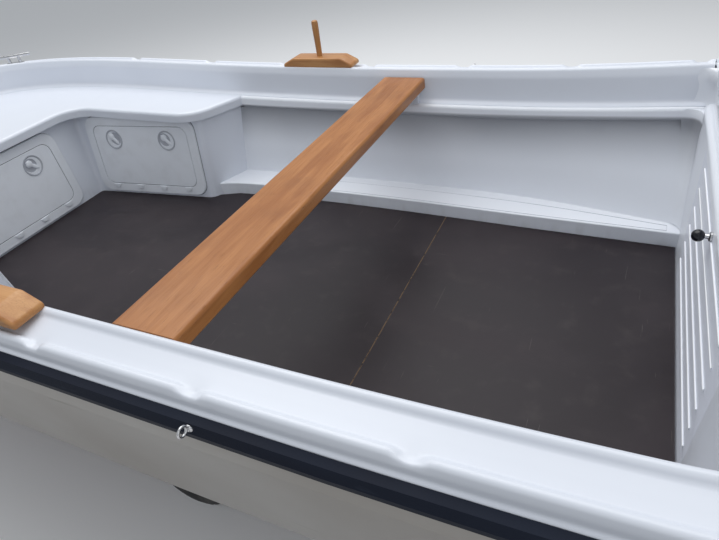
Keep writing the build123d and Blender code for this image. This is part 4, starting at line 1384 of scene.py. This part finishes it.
@dataclass
class Cockpit:
    """The inner moulding: sides, bench, locker front, bulkhead, boards and thwart.

    Stations are measured from midships and levels from the ground.
    """

    shop: Workshop
    ledge_drop: float = 0.098
    ledge_inner: float = 0.638
    fascia: float = 0.038
    bulkhead: float = 1.050
    bulkhead_top: float = 0.860
    ledge_level: float = 0.832
    ledge_round: float = 0.011
    fascia_round: float = 0.006
    foot_levels: Pair = (0.5475, 0.557)
    foot_round: float = 0.022
    step_levels: Pair = (0.543, 0.549)
    step_round: float = 0.005
    outline_start: float = -0.36
    outline_length: float = 1.375
    outline_steps: int = 28
    outline_probes: Pair = (FLOOR + 0.030, FLOOR + 0.058)
    outline_margin: float = 0.008
    outline_share: float = 0.66
    outline_lift: float = 0.0002
    outline_wire: float = 0.0009
    probe_from: float = 0.3
    coaming_foot: float = 0.869
    coaming_inboard: float = 0.101
    coaming_lean: float = -0.111
    cove_levels: Pair = (0.5515, 0.8605)
    cove_reach: float = 0.042
    widens_from: float = 0.76
    widens_over: float = 0.11
    widening: float = 0.022
    closes_from: float = 0.853
    closing: float = 0.3
    below_ledge: float = 0.6345
    bench_span: Pair = (-1.262, -0.5615)
    bench_inner: float = 0.645
    bench_round: float = 0.0135
    lip_round: float = 0.0022
    panel_round: float = 0.0055
    rib_round: float = 0.0012

    def build(self) -> None:
        """Rounds and dresses the cockpit's nodes and adds its coves and outlines."""
        finishes = self.shop.finishes
        for node in ("locker_front", "cockpit_sole"):
            self.shop.dress(node, finishes.white, "deck_gelcoat", 28.0)
        for side in Side:
            self.side(side)
            self.step_outline(side)
            self.coaming_corner(side)
            self.bulkhead_cove(side)
        self.bench()
        self.panel()
        for node in ("floorboard_aft", "floorboard_forward"):
            self.shop.dress(node, finishes.boards, "board_ply")
        self.shop.dress("thwart", finishes.mahogany, "thwart_wood", 30.0)
        self.shop.dress("thwart_brackets", finishes.white, "deck_gelcoat")
        self.knob()

    def side(self, side: Side) -> None:
        """One cockpit side with its ledge, fascia, cove and step rounded.

        Args:
            side: The side.
        """
        node = "cockpit_side_" + side.word

        def near(spot: Vector, y: float, drop: float) -> bool:
            """Whether a spot is at a half breadth and a drop below the rail."""
            return abs(spot.y - y) < 0.004 and abs(spot.z - RAIL.height(spot.x) + drop) < 0.006

        def ledge_edge(edge: Edge) -> bool:
            """The ledge's inner edge."""
            return edge.convex and near(edge.spot, self.ledge_inner, self.ledge_drop + 0.001)

        def fascia_edge(edge: Edge) -> bool:
            """The fascia's lower edge."""
            return edge.convex and near(edge.spot, self.ledge_inner - 0.004, self.ledge_drop + self.fascia)

        def foot(edge: Edge) -> bool:
            """The inner corner at the side wall's foot."""
            low, high = self.foot_levels
            return not edge.convex and low < edge.spot.z < high and edge.upper > 0.8

        def step_edge(edge: Edge) -> bool:
            """The step's edge above the boards."""
            low, high = self.step_levels
            return edge.convex and low < edge.spot.z < high and edge.upper > 0.8 and edge.inboard < -0.7

        made = softened(self.shop.nodes[node], node + "_skin", [
            Softening(self.ledge_round, 5, ledge_edge),
            Softening(self.fascia_round, 3, fascia_edge),
            Softening(self.foot_round, 6, foot),
            Softening(self.step_round, 3, step_edge),
        ])
        # The wall finish is painted lighter than the white gelcoat and carries painted shade under the ledge.
        self.shop.fit(made, self.shop.finishes.wall, "deck_gelcoat", replaces=[node])

    def step_outline(self, side: Side) -> None:
        """The long thin sunk panel's outline on a step's top, drawn as a darker wire: painted shade in the
        sunk line.

        Args:
            side: The side.
        """
        wall = Wall.of(self.shop.nodes["cockpit_side_" + side.word])
        outward = Vector((0, side.value, 0))
        down = Vector((0, 0, -1))
        inner, outer = [], []
        for i in range(self.outline_steps + 1):
            x = BOAT_X + self.outline_start + self.outline_length * i / self.outline_steps
            riser, foot = (wall.hit(Vector((x, self.probe_from * side.value, z)), outward).y
                           for z in self.outline_probes)
            near = riser + self.outline_margin * side.value
            far = riser + (foot - riser) * self.outline_share
            for line, y in ((inner, near), (outer, far)):
                line.append(wall.hit(Vector((x, y, FLOOR + 0.3)), down) + Vector((0, 0, self.outline_lift)))
        made = wire_ring("step_panel_outline_" + side.word, inner + outer[::-1], self.outline_wire, 6)
        # The wire is painted darker: painted shade for the sunk line.
        self.shop.fit(made, self.shop.finishes.groove, "deck_gelcoat")

    def cove(self, name: str, levels: Sequence[tuple[float, Pair, Pair, Pair, float]], side: Side) -> None:
        """A hollow-faced fillet that stands in a corner.

        Args:
            name: Its name.
            levels: Height, then in plan the fillet's start, the corner and the fillet's end, and the
                share by which its face draws back into the corner.
            side: The side.
        """
        rings = []
        for z, start, corner, end, back in levels:
            first, middle, last = Vector(start), Vector(corner), Vector(end)
            ring = []
            for k in range(13):
                ring.append(middle + (hollow(first, middle, last, k / 12) - middle) * (1 - back))
            ring.append(middle + Vector((0.002, 0.002)))
            rings.append([Vector((BOAT_X + spot.x, spot.y * side.value, z)) for spot in ring])
        # The coves take the wall finish: painted lighter than the white gelcoat, with painted shade under the
        # ledge.
        self.shop.fit(skin_over(name + "_" + side.word, rings), self.shop.finishes.wall, "deck_gelcoat")

    def coaming_corner(self, side: Side) -> None:
        """The rounded corner where the coaming meets the foredeck's lip and the wall below it.

        Args:
            side: The side.
        """
        levels = []
        for z, wall_x, reach, back in (
            (0.8675, 1.0852, 0.052, -0.40), (0.872, 1.0852, 0.052, -0.18), (0.880, 1.0852, 0.052, -0.04),
            (0.892, 1.0852, 0.052, 0.0), (0.908, 1.0848, 0.050, 0.0), (0.921, 1.0800, 0.046, 0.0),
            (0.931, 1.0710, 0.042, 0.0), (0.939, 1.0642, 0.038, 0.0), (0.953, 1.0638, 0.038, 0.0),
            (0.960, 1.0638, 0.038, 0.07), (0.9645, 1.0638, 0.038, 0.22), (0.9662, 1.0638, 0.038, 0.45),
        ):
            inboard = self.coaming_inboard + (z - self.coaming_foot) * self.coaming_lean - 0.0003
            start_x = wall_x - reach
            start, ahead = (RAIL.place(x, RAIL.breadth(x), inboard, -0.05) for x in (start_x, start_x + 0.02))
            slope = (ahead.y - start.y) / (ahead.x - start.x)
            first = (start.x - BOAT_X, start.y)
            corner = (wall_x, start.y + slope * (wall_x - first[0]))
            levels.append((z, first, corner, (wall_x, corner[1] - reach), back))
        self.cove("coaming_corner", levels, side)

    def bulkhead_cove(self, side: Side) -> None:
        """The hollow corner between the side wall and the bulkhead, up to the ledge.

        Args:
            side: The side.
        """
        wall = Wall.of(self.shop.nodes["cockpit_side_" + side.word])
        outward = Vector((0, side.value, 0))
        face = self.bulkhead - 0.0003
        levels = []
        foot, top = self.cove_levels
        for i in range(24):
            z = foot + (top - foot) * i / 23
            reach = self.cove_reach + self.widening * max(0.0, (z - self.widens_from) / self.widens_over) ** 2
            back = self.closing * max(0.0, z - self.closes_from) / (top - self.closes_from)
            spots = []
            for x in (face - reach, face - 0.001):
                y = abs(wall.hit(Vector((BOAT_X + x, self.probe_from * side.value, z)), outward).y)
                spots.append((x, (min(y, self.below_ledge) if z < self.ledge_level else y) - 0.0002))
            levels.append((z, spots[0], (face, spots[1][1]), (face, spots[1][1] - reach), back))
        self.cove("bulkhead_cove", levels, side)

    def bench(self) -> None:
        """The stern bench with its thick rounded edge."""

        aft, ahead = self.bench_span

        def brim(edge: Edge) -> bool:
            """The bench's upper inner edge."""
            inside = aft < edge.spot.x < ahead and edge.spot.y < self.bench_inner
            return edge.convex and inside and edge.upper > 0.8 and abs(edge.lower) < 0.35

        def lip(edge: Edge) -> bool:
            """The lip's lower edges."""
            level = RAIL.height(edge.spot.x) - self.ledge_drop - 0.028
            return edge.convex and edge.lower < -0.8 and edge.spot.z < level

        made = softened(self.shop.nodes["stern_bench"], "stern_bench_skin", [
            Softening(self.bench_round, 6, brim),
            Softening(self.lip_round, 2, lip),
        ])
        self.shop.fit(made, self.shop.finishes.white, "deck_gelcoat", replaces=["stern_bench"])

    def panel(self) -> None:
        """The ribbed bulkhead with its top edge and ribs rounded."""

        def top(edge: Edge) -> bool:
            """The edges along the bulkhead's top."""
            return edge.convex and edge.spot.z > self.bulkhead_top and edge.spot.x < self.bulkhead + 0.015

        def rib(edge: Edge) -> bool:
            """The ribs' outer edges."""
            return edge.convex and edge.spot.z < self.bulkhead_top and edge.spot.x < self.bulkhead - 0.002

        made = softened(self.shop.nodes["bow_bulkhead"], "bow_bulkhead_skin", [
            Softening(self.panel_round, 4, top),
            Softening(self.rib_round, 2, rib),
        ])
        self.shop.fit(made, self.shop.finishes.panel, "deck_gelcoat", replaces=["bow_bulkhead"])

    def knob(self) -> None:
        """The black ball knob on its bright stem."""
        low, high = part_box("bulkhead_knob")
        centre = Vector((high.x, 0.0, (low.z + high.z) / 2))
        place = frame_of(centre, Vector((-1, 0, 0)), Vector((0, 0, 1)))
        reach = high.x - low.x
        radius = (high.z - low.z) / 2
        ball = [(0.0045, 0.010)]
        for i in range(1, 16):
            angle = math.pi * i / 16
            ball.append((radius * math.sin(angle), reach - radius - radius * math.cos(angle)))
        ball.append((0.0, reach))
        made = turned("knob_ball", ball, 36, place)
        self.shop.fit(made, self.shop.finishes.knob, "knob_plastic", replaces=["bulkhead_knob"])
        stem = [(0.0105, 0.0), (0.0105, 0.0035), (0.009, 0.005), (0.006, 0.0058), (0.005, 0.008),
                (0.005, 0.020), (0.0, 0.020)]
        self.shop.fit(turned("knob_stem", stem, 32, place), self.shop.finishes.stainless, "stainless")


@dataclass
class HatchFace:
    """Where one hatch sits: its origin, its run along the wall and its lean."""

    word: str
    origin: Vector
    run: Vector
    normal: Vector

    @property
    def rise(self) -> Vector:
        """Direction up the face."""
        return self.normal.cross(self.run).normalized()

    def place(self, x: float, y: float, out: float) -> Matrix:
        """A placing on the face with its local Z out of it.

        Args:
            x: Distance along the face from the hatch's middle.
            y: Distance up it.
            out: Distance off it.

        Returns:
            The matrix.
        """
        spot = self.origin + self.run * x + self.rise * y + self.normal * out
        return frame_of(spot, self.normal, self.rise)


@dataclass
class Hatches:
    """Three locker hatches: frames, lids and turning latches.

    Stations are measured from midships, the hatches' middles from the boards, and what is on a face
    from its middle and off its plane.
    """

    shop: Workshop
    stern_face: float = -1.250
    side_aft: Pair = (-1.250, 0.372)
    side_ahead: Pair = (-0.655, 0.426)
    side_middle: float = -0.957
    side_lean: float = 0.044
    stern_lean: float = -0.032
    face_height: float = 0.330
    middle_up: float = 0.168
    latch_radius: float = 0.041
    latch_spacing: float = 0.268
    latch_up: float = 0.070
    cover_radius: float = 0.0178
    cover_pitch: float = 0.125
    latch_seat: float = 0.0063
    tab_turn: float = 226.0
    tab_height: float = 0.0078
    tab_start: float = -0.74
    tab_length: float = 1.44
    bulb_share: float = 0.24
    bulb_half: float = 0.0145
    stalk_half: float = 0.0075
    frame_thickness: float = 0.009
    frame_round: float = 0.0011
    lid_round: float = 0.0007
    seal_up: float = 0.0059
    cover_foot: float = -0.1290
    seal_size: Point = (0.236, 0.126, 0.035)
    frame_shadow_size: Point = (0.2752, 0.1632, 0.0522)

    def faces(self) -> list[HatchFace]:
        """The three hatch faces, as the solids have them."""
        (aft_x, aft_y), (ahead_x, ahead_y) = self.side_aft, self.side_ahead
        level = FLOOR + self.middle_up
        share = self.middle_up / self.face_height
        part = (self.side_middle - aft_x) / (ahead_x - aft_x)
        run = Vector((ahead_x - aft_x, ahead_y - aft_y, 0)).normalized()
        normal = run.cross(Vector((0, self.side_lean, self.face_height))).normalized()
        half_breadth = aft_y + (ahead_y - aft_y) * part + self.side_lean * share
        spot = Vector((BOAT_X + self.side_middle, half_breadth, level))
        port = HatchFace("port", spot, run, normal)
        mirror_run = Vector((-run.x, run.y, 0))
        mirror_normal = Vector((normal.x, -normal.y, normal.z))
        starboard = HatchFace("starboard", Vector((spot.x, -spot.y, spot.z)), mirror_run, mirror_normal)
        across = Vector((0, 1, 0))
        stern_normal = across.cross(Vector((self.stern_lean, 0, self.face_height))).normalized()
        stern_spot = Vector((BOAT_X + self.stern_face + self.stern_lean * share, 0, level))
        return [port, starboard, HatchFace("stern", stern_spot, across, stern_normal)]

    def build(self) -> None:
        """Rounds and dresses frames and lids and builds the seals, the frames' painted shadow lines and the
        latches.
        """
        finishes = self.shop.finishes

        def outer(edge: Edge) -> bool:
            """Every edge that stands out."""
            return edge.convex

        for face in self.faces():
            frame = "hatch_frame_" + face.word
            lid = "hatch_lid_" + face.word
            made = softened(self.shop.nodes[frame], frame + "_skin", [Softening(self.frame_round, 2, outer)])
            self.shop.fit(made, finishes.hatch, "hatch_plastic", replaces=[frame])
            made = softened(self.shop.nodes[lid], lid + "_skin", [Softening(self.lid_round, 2, outer)])
            self.shop.fit(made, finishes.hatch, "hatch_plastic", "lid_" + face.word, [lid])
            self.seal(face)
            self.hinge_covers(face)
            self.latches(face)

    def hinge_covers(self, face: HatchFace) -> None:
        """Half-round covers over the hinges along a lid's foot.

        Args:
            face: The hatch's face.
        """
        r = self.cover_radius
        profile = ((r, -0.001), (r, 0.0028), (r * 0.93, 0.0040), (r * 0.80, 0.0044), (r * 0.1, 0.0046))
        covers = []
        for i in range(4):
            place = face.place((i - 1.5) * self.cover_pitch, self.cover_foot, self.frame_thickness)
            rings = []
            for radius, height in profile:
                ring = []
                for k in range(17):
                    angle = math.pi * (1 + k / 16)
                    ring.append(place @ Vector((radius * math.cos(angle), radius * math.sin(angle), height)))
                rings.append(ring)
            covers.append(skin_over("cover", rings, 30.0))
        self.shop.fit(joined("hinge_covers_" + face.word, covers), self.shop.finishes.latch, "hatch_plastic")

    def seal(self, face: HatchFace) -> None:
        """The dark seal in the gap round a lid, which also paints the gap's shade, and a dark bead round the
        frame that paints its contact shadow.

        Args:
            face: The hatch's face.
        """
        # The second line is painted contact shadow round the frame, drawn as a bead.
        for name, (half_width, half_height, radius), depth, wire in (
            ("hatch_seal_", self.seal_size, self.seal_up, 0.00095),
            ("frame_bead_", self.frame_shadow_size, 0.0004, 0.0012),
        ):
            path = []
            for x_sign, y_sign, first in ((1, 1, 0), (-1, 1, 90), (-1, -1, 180), (1, -1, 270)):
                for k in range(7):
                    angle = math.radians(first + 15 * k)
                    x = x_sign * (half_width - radius) + radius * math.cos(angle)
                    y = y_sign * (half_height - radius) + radius * math.sin(angle)
                    path.append(face.place(x, y, depth).translation)
            ring = wire_ring(name + face.word, path, wire, 6)
            self.shop.fit(ring, self.shop.finishes.seal, "hatch_plastic")

    def latches(self, face: HatchFace) -> None:
        """Two dished latches, each with a finger tab that has a round end.

        Args:
            face: The hatch's face.
        """
        r = self.latch_radius
        dishes = []
        tabs = []
        for x in (-self.latch_spacing / 2, self.latch_spacing / 2):
            place = face.place(x, self.latch_up, self.latch_seat)
            dish = [(r, 0.0), (r, 0.0040), (r * 0.985, 0.0049), (r * 0.95, 0.0053), (r * 0.90, 0.0049),
                    (r * 0.86, 0.0034), (r * 0.80, 0.0016), (r * 0.62, 0.0006), (0.0, 0.0005)]
            dishes.append(turned("dish", dish, 48, place))
            tilt = place @ Matrix.Rotation(math.radians(self.tab_turn), 4, "Z")
            line = []
            for k in range(25):
                share = k / 24
                along = (self.tab_start + self.tab_length * share) * r
                bulb = max(0.0, 1 - (share / self.bulb_share - 1) ** 2) ** 0.5
                ends = min(1.0, 5 * (1.02 - share)) * min(1.0, 9 * (share + 0.02))
                line.append((along, max(self.bulb_half * bulb, self.stalk_half) * ends))
            tabs.append(self.tab(tilt, line))
        body = "lid_" + face.word
        # The dishes take a darker grey than the tabs: painted shade for a deep bowl.
        made = joined("latch_dishes_" + face.word, dishes)
        self.shop.fit(made, self.shop.finishes.dish, "latch_plastic", body, ["hatch_latches_" + face.word])
        made = joined("latch_tabs_" + face.word, tabs)
        self.shop.fit(made, self.shop.finishes.latch, "latch_plastic", body)

    def tab(self, place: Matrix, line: Sequence[Pair]) -> Object:
        """A finger tab, round over its top.

        Args:
            place: Its placing.
            line: Distance along it and half width at each point.

        Returns:
            The object.
        """
        built = bmesh.new()
        steps = 10
        seat, edge = 0.0008, 0.0010
        rings = []
        widest = max(width for _, width in line)
        for along, width in line:
            ring = []
            top = edge + (self.tab_height - edge) * (0.45 + 0.55 * width / widest)
            for k in range(steps + 1):
                angle = math.pi * k / steps
                up = seat + (top - seat) * math.sin(angle) ** 0.7
                ring.append(built.verts.new(place @ Vector((width * math.cos(angle), along, up))))
            rings.append(ring)
        for low, high in zip(rings, rings[1:]):
            for k in range(steps):
                built.faces.new((low[k], low[k + 1], high[k + 1], high[k]))
            built.faces.new((low[0], high[0], high[-1], low[-1]))
        built.faces.new(rings[0])
        built.faces.new(rings[-1])
        return smooth(from_bmesh("tab", built), 50.0)


@dataclass
class Fittings:
    """Thole pads and pins, cleats and strake eyes."""

    shop: Workshop
    pad_inset: float = 0.001
    pad_drop: float = 0.0005
    pad_depth: float = 0.036
    bevel_length: float = 0.046
    bevel_rise: float = 0.022
    pad_round: float = 0.0065
    pin_radius: float = 0.012
    eye_rise: float = 0.012
    ring_lift: float = 0.0065
    ring_radius: float = 0.0082
    ring_wire: float = 0.0023

    def build(self) -> None:
        """Builds the fittings on both sides."""
        finishes = self.shop.finishes
        for side in Side:
            self.pad(side)
            self.pin(side)
            self.eye(side)
            self.shop.dress("cleat_" + side.word, finishes.stainless, "stainless", 40.0)

    def pad(self, side: Side) -> None:
        """The wooden pad, long-bevelled at its ends and rounded over.

        Args:
            side: The side it is on.
        """
        low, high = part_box("thole_pad_" + side.word)
        inset, bevel = self.pad_inset, self.bevel_length
        top = high.z - self.pad_drop
        foot = top - self.pad_depth
        xs = [low.x + inset, low.x + bevel, high.x - bevel, high.x - inset]
        tops = [top - self.bevel_rise, top, top, top - self.bevel_rise]
        points = []
        for y in (low.y + inset, high.y - inset):
            for x, z in zip(xs, tops):
                points.append((x, y, z))
            for x in xs:
                points.append((x, y, foot))
        faces = []
        for k in range(3):
            faces.append((k, k + 1, 9 + k, 8 + k))
            faces.append((4 + k, 12 + k, 13 + k, 5 + k))
            faces.append((k, 4 + k, 5 + k, k + 1))
            faces.append((8 + k, 9 + k, 13 + k, 12 + k))
        faces += [(0, 8, 12, 4), (3, 7, 15, 11)]
        made = mesh_object("thole_pad_wood_" + side.word, points, faces)
        rounded(made, self.pad_round, 4, 20.0)
        self.shop.fit(made, self.shop.finishes.thole, "thole_wood", replaces=["thole_pad_" + side.word])

    def pin(self, side: Side) -> None:
        """The slightly tapered pin with a domed top.

        Args:
            side: The side it is on.
        """
        low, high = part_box("thole_pin_" + side.word)
        place = Matrix.Translation(((low.x + high.x) / 2, (low.y + high.y) / 2, 0))
        r = self.pin_radius
        top = high.z
        profile = [(r * 0.80, low.z), (r * 0.80, top - 0.125), (r * 0.84, top - 0.12),
                   (r * 0.99, top - 0.030), (r * 0.98, top - 0.008), (r * 0.86, top - 0.002),
                   (r * 0.6, top - 0.0003), (0, top)]
        made = turned("thole_pin_wood_" + side.word, profile, 28, place)
        self.shop.fit(made, self.shop.finishes.pin, "thole_wood", replaces=["thole_pin_" + side.word])

    def eye(self, side: Side) -> None:
        """A ring eye with its collar on the strake.

        Args:
            side: The side it is on.
        """
        low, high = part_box("strake_eye_" + side.word)
        x = (low.x + high.x) / 2
        z = (low.z + high.z) / 2 + self.eye_rise
        inner = min(abs(low.y), abs(high.y))
        r = self.ring_radius
        centre = max(abs(low.y), abs(high.y)) - r - self.ring_wire
        middle = z + self.ring_lift
        path = [Vector((x, (centre + r * c) * side.value, middle + r * s)) for c, s in around(40)]
        ring = wire_ring("ring", path, self.ring_wire, 14)
        place = frame_of(Vector((x, inner * side.value, z)), Vector((0, side.value, 0)), Vector((0, 0, 1)))
        collar = turned("collar", [(0.0070, 0.0), (0.0070, 0.0012), (0.0060, 0.0024), (0.0038, 0.0030),
                                   (0.0034, 0.0045), (0.0, 0.0045)], 28, place)
        made = joined("strake_ring_" + side.word, [ring, collar])
        self.shop.fit(made, self.shop.finishes.stainless, "stainless", replaces=["strake_eye_" + side.word])


@dataclass
class Trolley:
    """The launching trolley: tubes, bunks, wheels, leg and handle."""

    shop: Workshop
    wheel_radius: float = 0.130
    wheel_width: float = 0.082
    wheel_y: float = 0.510
    axle_x: float = BOAT_X - 0.170
    rim_radius: float = 0.058
    tread_ribs: tuple[float, ...] = (-0.018, 0.0, 0.018)
    tread_half: float = 0.0315
    tread_depth: float = 0.012
    tread_steps: int = 120
    groove_every: int = 4
    groove_depth: float = 0.0042
    grip_length: float = 0.120

    def build(self) -> None:
        """Dresses the trolley's nodes and builds its wheels and grips."""
        finishes = self.shop.finishes
        for node in ("axle_beam", "trolley_spine", "cross_beam", "bunk_posts", "prop_leg", "trolley_handle"):
            self.shop.dress(node, finishes.zinc, "galvanised", 30.0)
        for node in ("bunk_port", "bunk_starboard", "bow_chock"):
            self.shop.dress(node, finishes.carpet, "bunk_pad", 30.0)
        for side in Side:
            self.shop.dress("rim_" + side.word, finishes.rim, "rim_paint", 30.0)
            self.shop.dress("hub_cap_" + side.word, finishes.cap, "hub_plastic")
            self.tyre(side)
        self.grips()

    def tyre(self, side: Side) -> None:
        """A small tyre with a ribbed and grooved tread.

        Args:
            side: The side it is on.
        """
        half = self.wheel_width / 2
        r = self.wheel_radius
        rim = self.rim_radius + 0.0004
        profile = [(rim, -half + 0.014), (rim + 0.004, -half + 0.0075), (rim + 0.012, -half + 0.0042),
                   (r - 0.046, -half + 0.0006), (r - 0.036, -half + 0.0002), (r - 0.026, -half + 0.0022),
                   (r - 0.0155, -half + 0.0072)]
        tread = [(-self.tread_half, 0.0098), (-0.028, 0.0068)]
        for y in self.tread_ribs:
            tread += [(y - 0.0062, 0.0022 + abs(y) * 0.14), (y + 0.0062, 0.0022 + abs(y) * 0.14)]
            if y < self.tread_ribs[-1]:
                tread += [(y + 0.0075, 0.0075), (y + 0.0105, 0.0075)]
        tread += [(0.028, 0.0068), (self.tread_half, 0.0098)]
        profile += [(r - drop, y) for y, drop in tread]
        profile += [(radius, -y) for radius, y in profile[:7][::-1]]
        place = frame_of(Vector((self.axle_x, self.wheel_y * side.value, self.wheel_radius)),
                         Vector((0, side.value, 0)), Vector((0, 0, 1)))
        made = turned("tyre_tread_" + side.word, profile, self.tread_steps, place)
        inverse = place.inverted()
        for vertex in made.data.vertices:
            local = inverse @ vertex.co
            radius = math.hypot(local.x, local.y)
            if radius < r - self.tread_depth or abs(local.z) > self.tread_half + 0.0015:
                continue
            step = round((math.atan2(local.y, local.x) / (2 * math.pi)) * self.tread_steps)
            if step % self.groove_every == 0:
                scale = (radius - self.groove_depth) / radius
                vertex.co = place @ Vector((local.x * scale, local.y * scale, local.z))
        smooth(made, 30.0)
        self.shop.fit(made, self.shop.finishes.tyre, "tyre", "wheel_" + side.word, ["tyre_" + side.word])

    def grips(self) -> None:
        """Ribbed rubber grips on the handle."""
        low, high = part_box("handle_grips")
        middle = Vector(((low.x + high.x) / 2, 0, (low.z + high.z) / 2))
        radius = (high.z - low.z) / 2
        length = self.grip_length
        profile = [(radius * 0.82, 0.0), (radius, 0.001), (radius, 0.006)]
        for k in range(16):
            y = 0.009 + k * 0.0065
            profile += [(radius * 0.90, y), (radius * 0.90, y + 0.0016), (radius * 0.985, y + 0.0028),
                        (radius * 0.985, y + 0.0052)]
        profile += [(radius, length - 0.003), (radius * 0.9, length), (0.0, length)]
        sleeves = []
        for side in Side:
            start = Vector((middle.x, (high.y - length) * side.value, middle.z))
            place = frame_of(start, Vector((0, side.value, 0)), Vector((0, 0, 1)))
            sleeves.append(turned("grip", profile, 32, place))
        made = joined("ribbed_grips", sleeves)
        self.shop.fit(made, self.shop.finishes.grip, "grip_rubber", replaces=["handle_grips"])


# Studio


@dataclass
class Studio:
    """The plain floor, the soft lights and the camera."""

    eye: Point = (BOAT_X + 0.85, -1.13, FLOOR + 1.04)
    look: Point = (-0.3950, 0.7046, -0.5896)
    right: Point = (0.9061, 0.4048, -0.1233)
    focal_pixels: float = 550.0
    image_width: float = 719.0
    film_width: float = 36.0
    floor_half: float = 40.0
    floor_level: float = -0.0005
    floor_seen: Point = (0.95, 0.95, 0.95)
    floor_giving: Point = (0.30, 0.30, 0.30)
    sky: Point = (0.90, 0.945, 1.0)
    sky_strength: float = 0.45

    def build(self) -> None:
        """Builds the studio."""
        self.floor()
        self.lights()
        self.camera()

    def floor(self) -> None:
        """A wide floor at the ground: pale to the camera and in reflections, darker in the light it gives."""
        half, z = self.floor_half, self.floor_level
        square = [(-half, -half, z), (half, -half, z), (half, half, z), (-half, half, z)]
        made = mesh_object("studio_floor", square, [(0, 1, 2, 3)])
        graph = Graph("studio_floor")
        camera = graph.add("ShaderNodeLightPath", output="Is Camera Ray")
        seen = camera.most(graph.add("ShaderNodeLightPath", output="Is Glossy Ray"))
        colour = graph.blend(seen, self.floor_giving, self.floor_seen)
        paint(made, graph.surface(colour, 0.9, specular=0.1))

    def lights(self) -> None:
        """A soft overhead key, a fill and an even pale world."""
        for name, place, size, power, target in (
            ("key_light", (-0.9, 1.4, 4.8), 5.0, 184.0, (0, 0, 0.5)),
            ("fill_light", (2.6, -3.4, 3.2), 4.0, 24.0, (0, 0, 0.6)),
        ):
            data = bpy.data.lights.new(name, "AREA")
            data.shape = "SQUARE"
            data.size = size
            data.energy = power
            lamp = linked(name, data)
            lamp.location = place
            lamp.rotation_euler = (Vector(target) - Vector(place)).to_track_quat("-Z", "Y").to_euler()
        world = bpy.data.worlds.new("studio_world")
        world.use_nodes = True
        background = world.node_tree.nodes["Background"]
        background.inputs["Color"].default_value = (*self.sky, 1.0)
        background.inputs["Strength"].default_value = self.sky_strength
        bpy.context.scene.world = world

    def camera(self) -> None:
        """The camera at the photograph's viewpoint."""
        data = bpy.data.cameras.new("photo_camera")
        data.sensor_fit = "HORIZONTAL"
        data.sensor_width = self.film_width
        data.lens = self.film_width * self.focal_pixels / self.image_width
        data.clip_start = 0.02
        data.clip_end = 200.0
        forward = Vector(self.look).normalized()
        right = Vector(self.right)
        right = (right - forward * right.dot(forward)).normalized()
        up = right.cross(forward)
        turn = Matrix((right, up, -forward)).transposed().to_4x4()
        camera = linked("photo_camera", data)
        camera.matrix_world = Matrix.Translation(self.eye) @ turn
        bpy.context.scene.camera = camera
        bpy.context.scene.view_settings.view_transform = "Standard"


def main() -> None:
    """Builds the boat, the trolley and the studio in order."""
    logging.basicConfig(level=logging.INFO, format="%(message)s", stream=sys.stdout)
    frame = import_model()
    shop = Workshop(frame, Finishes())
    parts: list[Callable[[], None]] = [
        OuterHull(shop).build,
        DeckEdge(shop).build,
        Cockpit(shop).build,
        Hatches(shop).build,
        Fittings(shop).build,
        Trolley(shop).build,
        Studio().build,
    ]
    for build in parts:
        build()


if __name__ == "__main__":
    main()
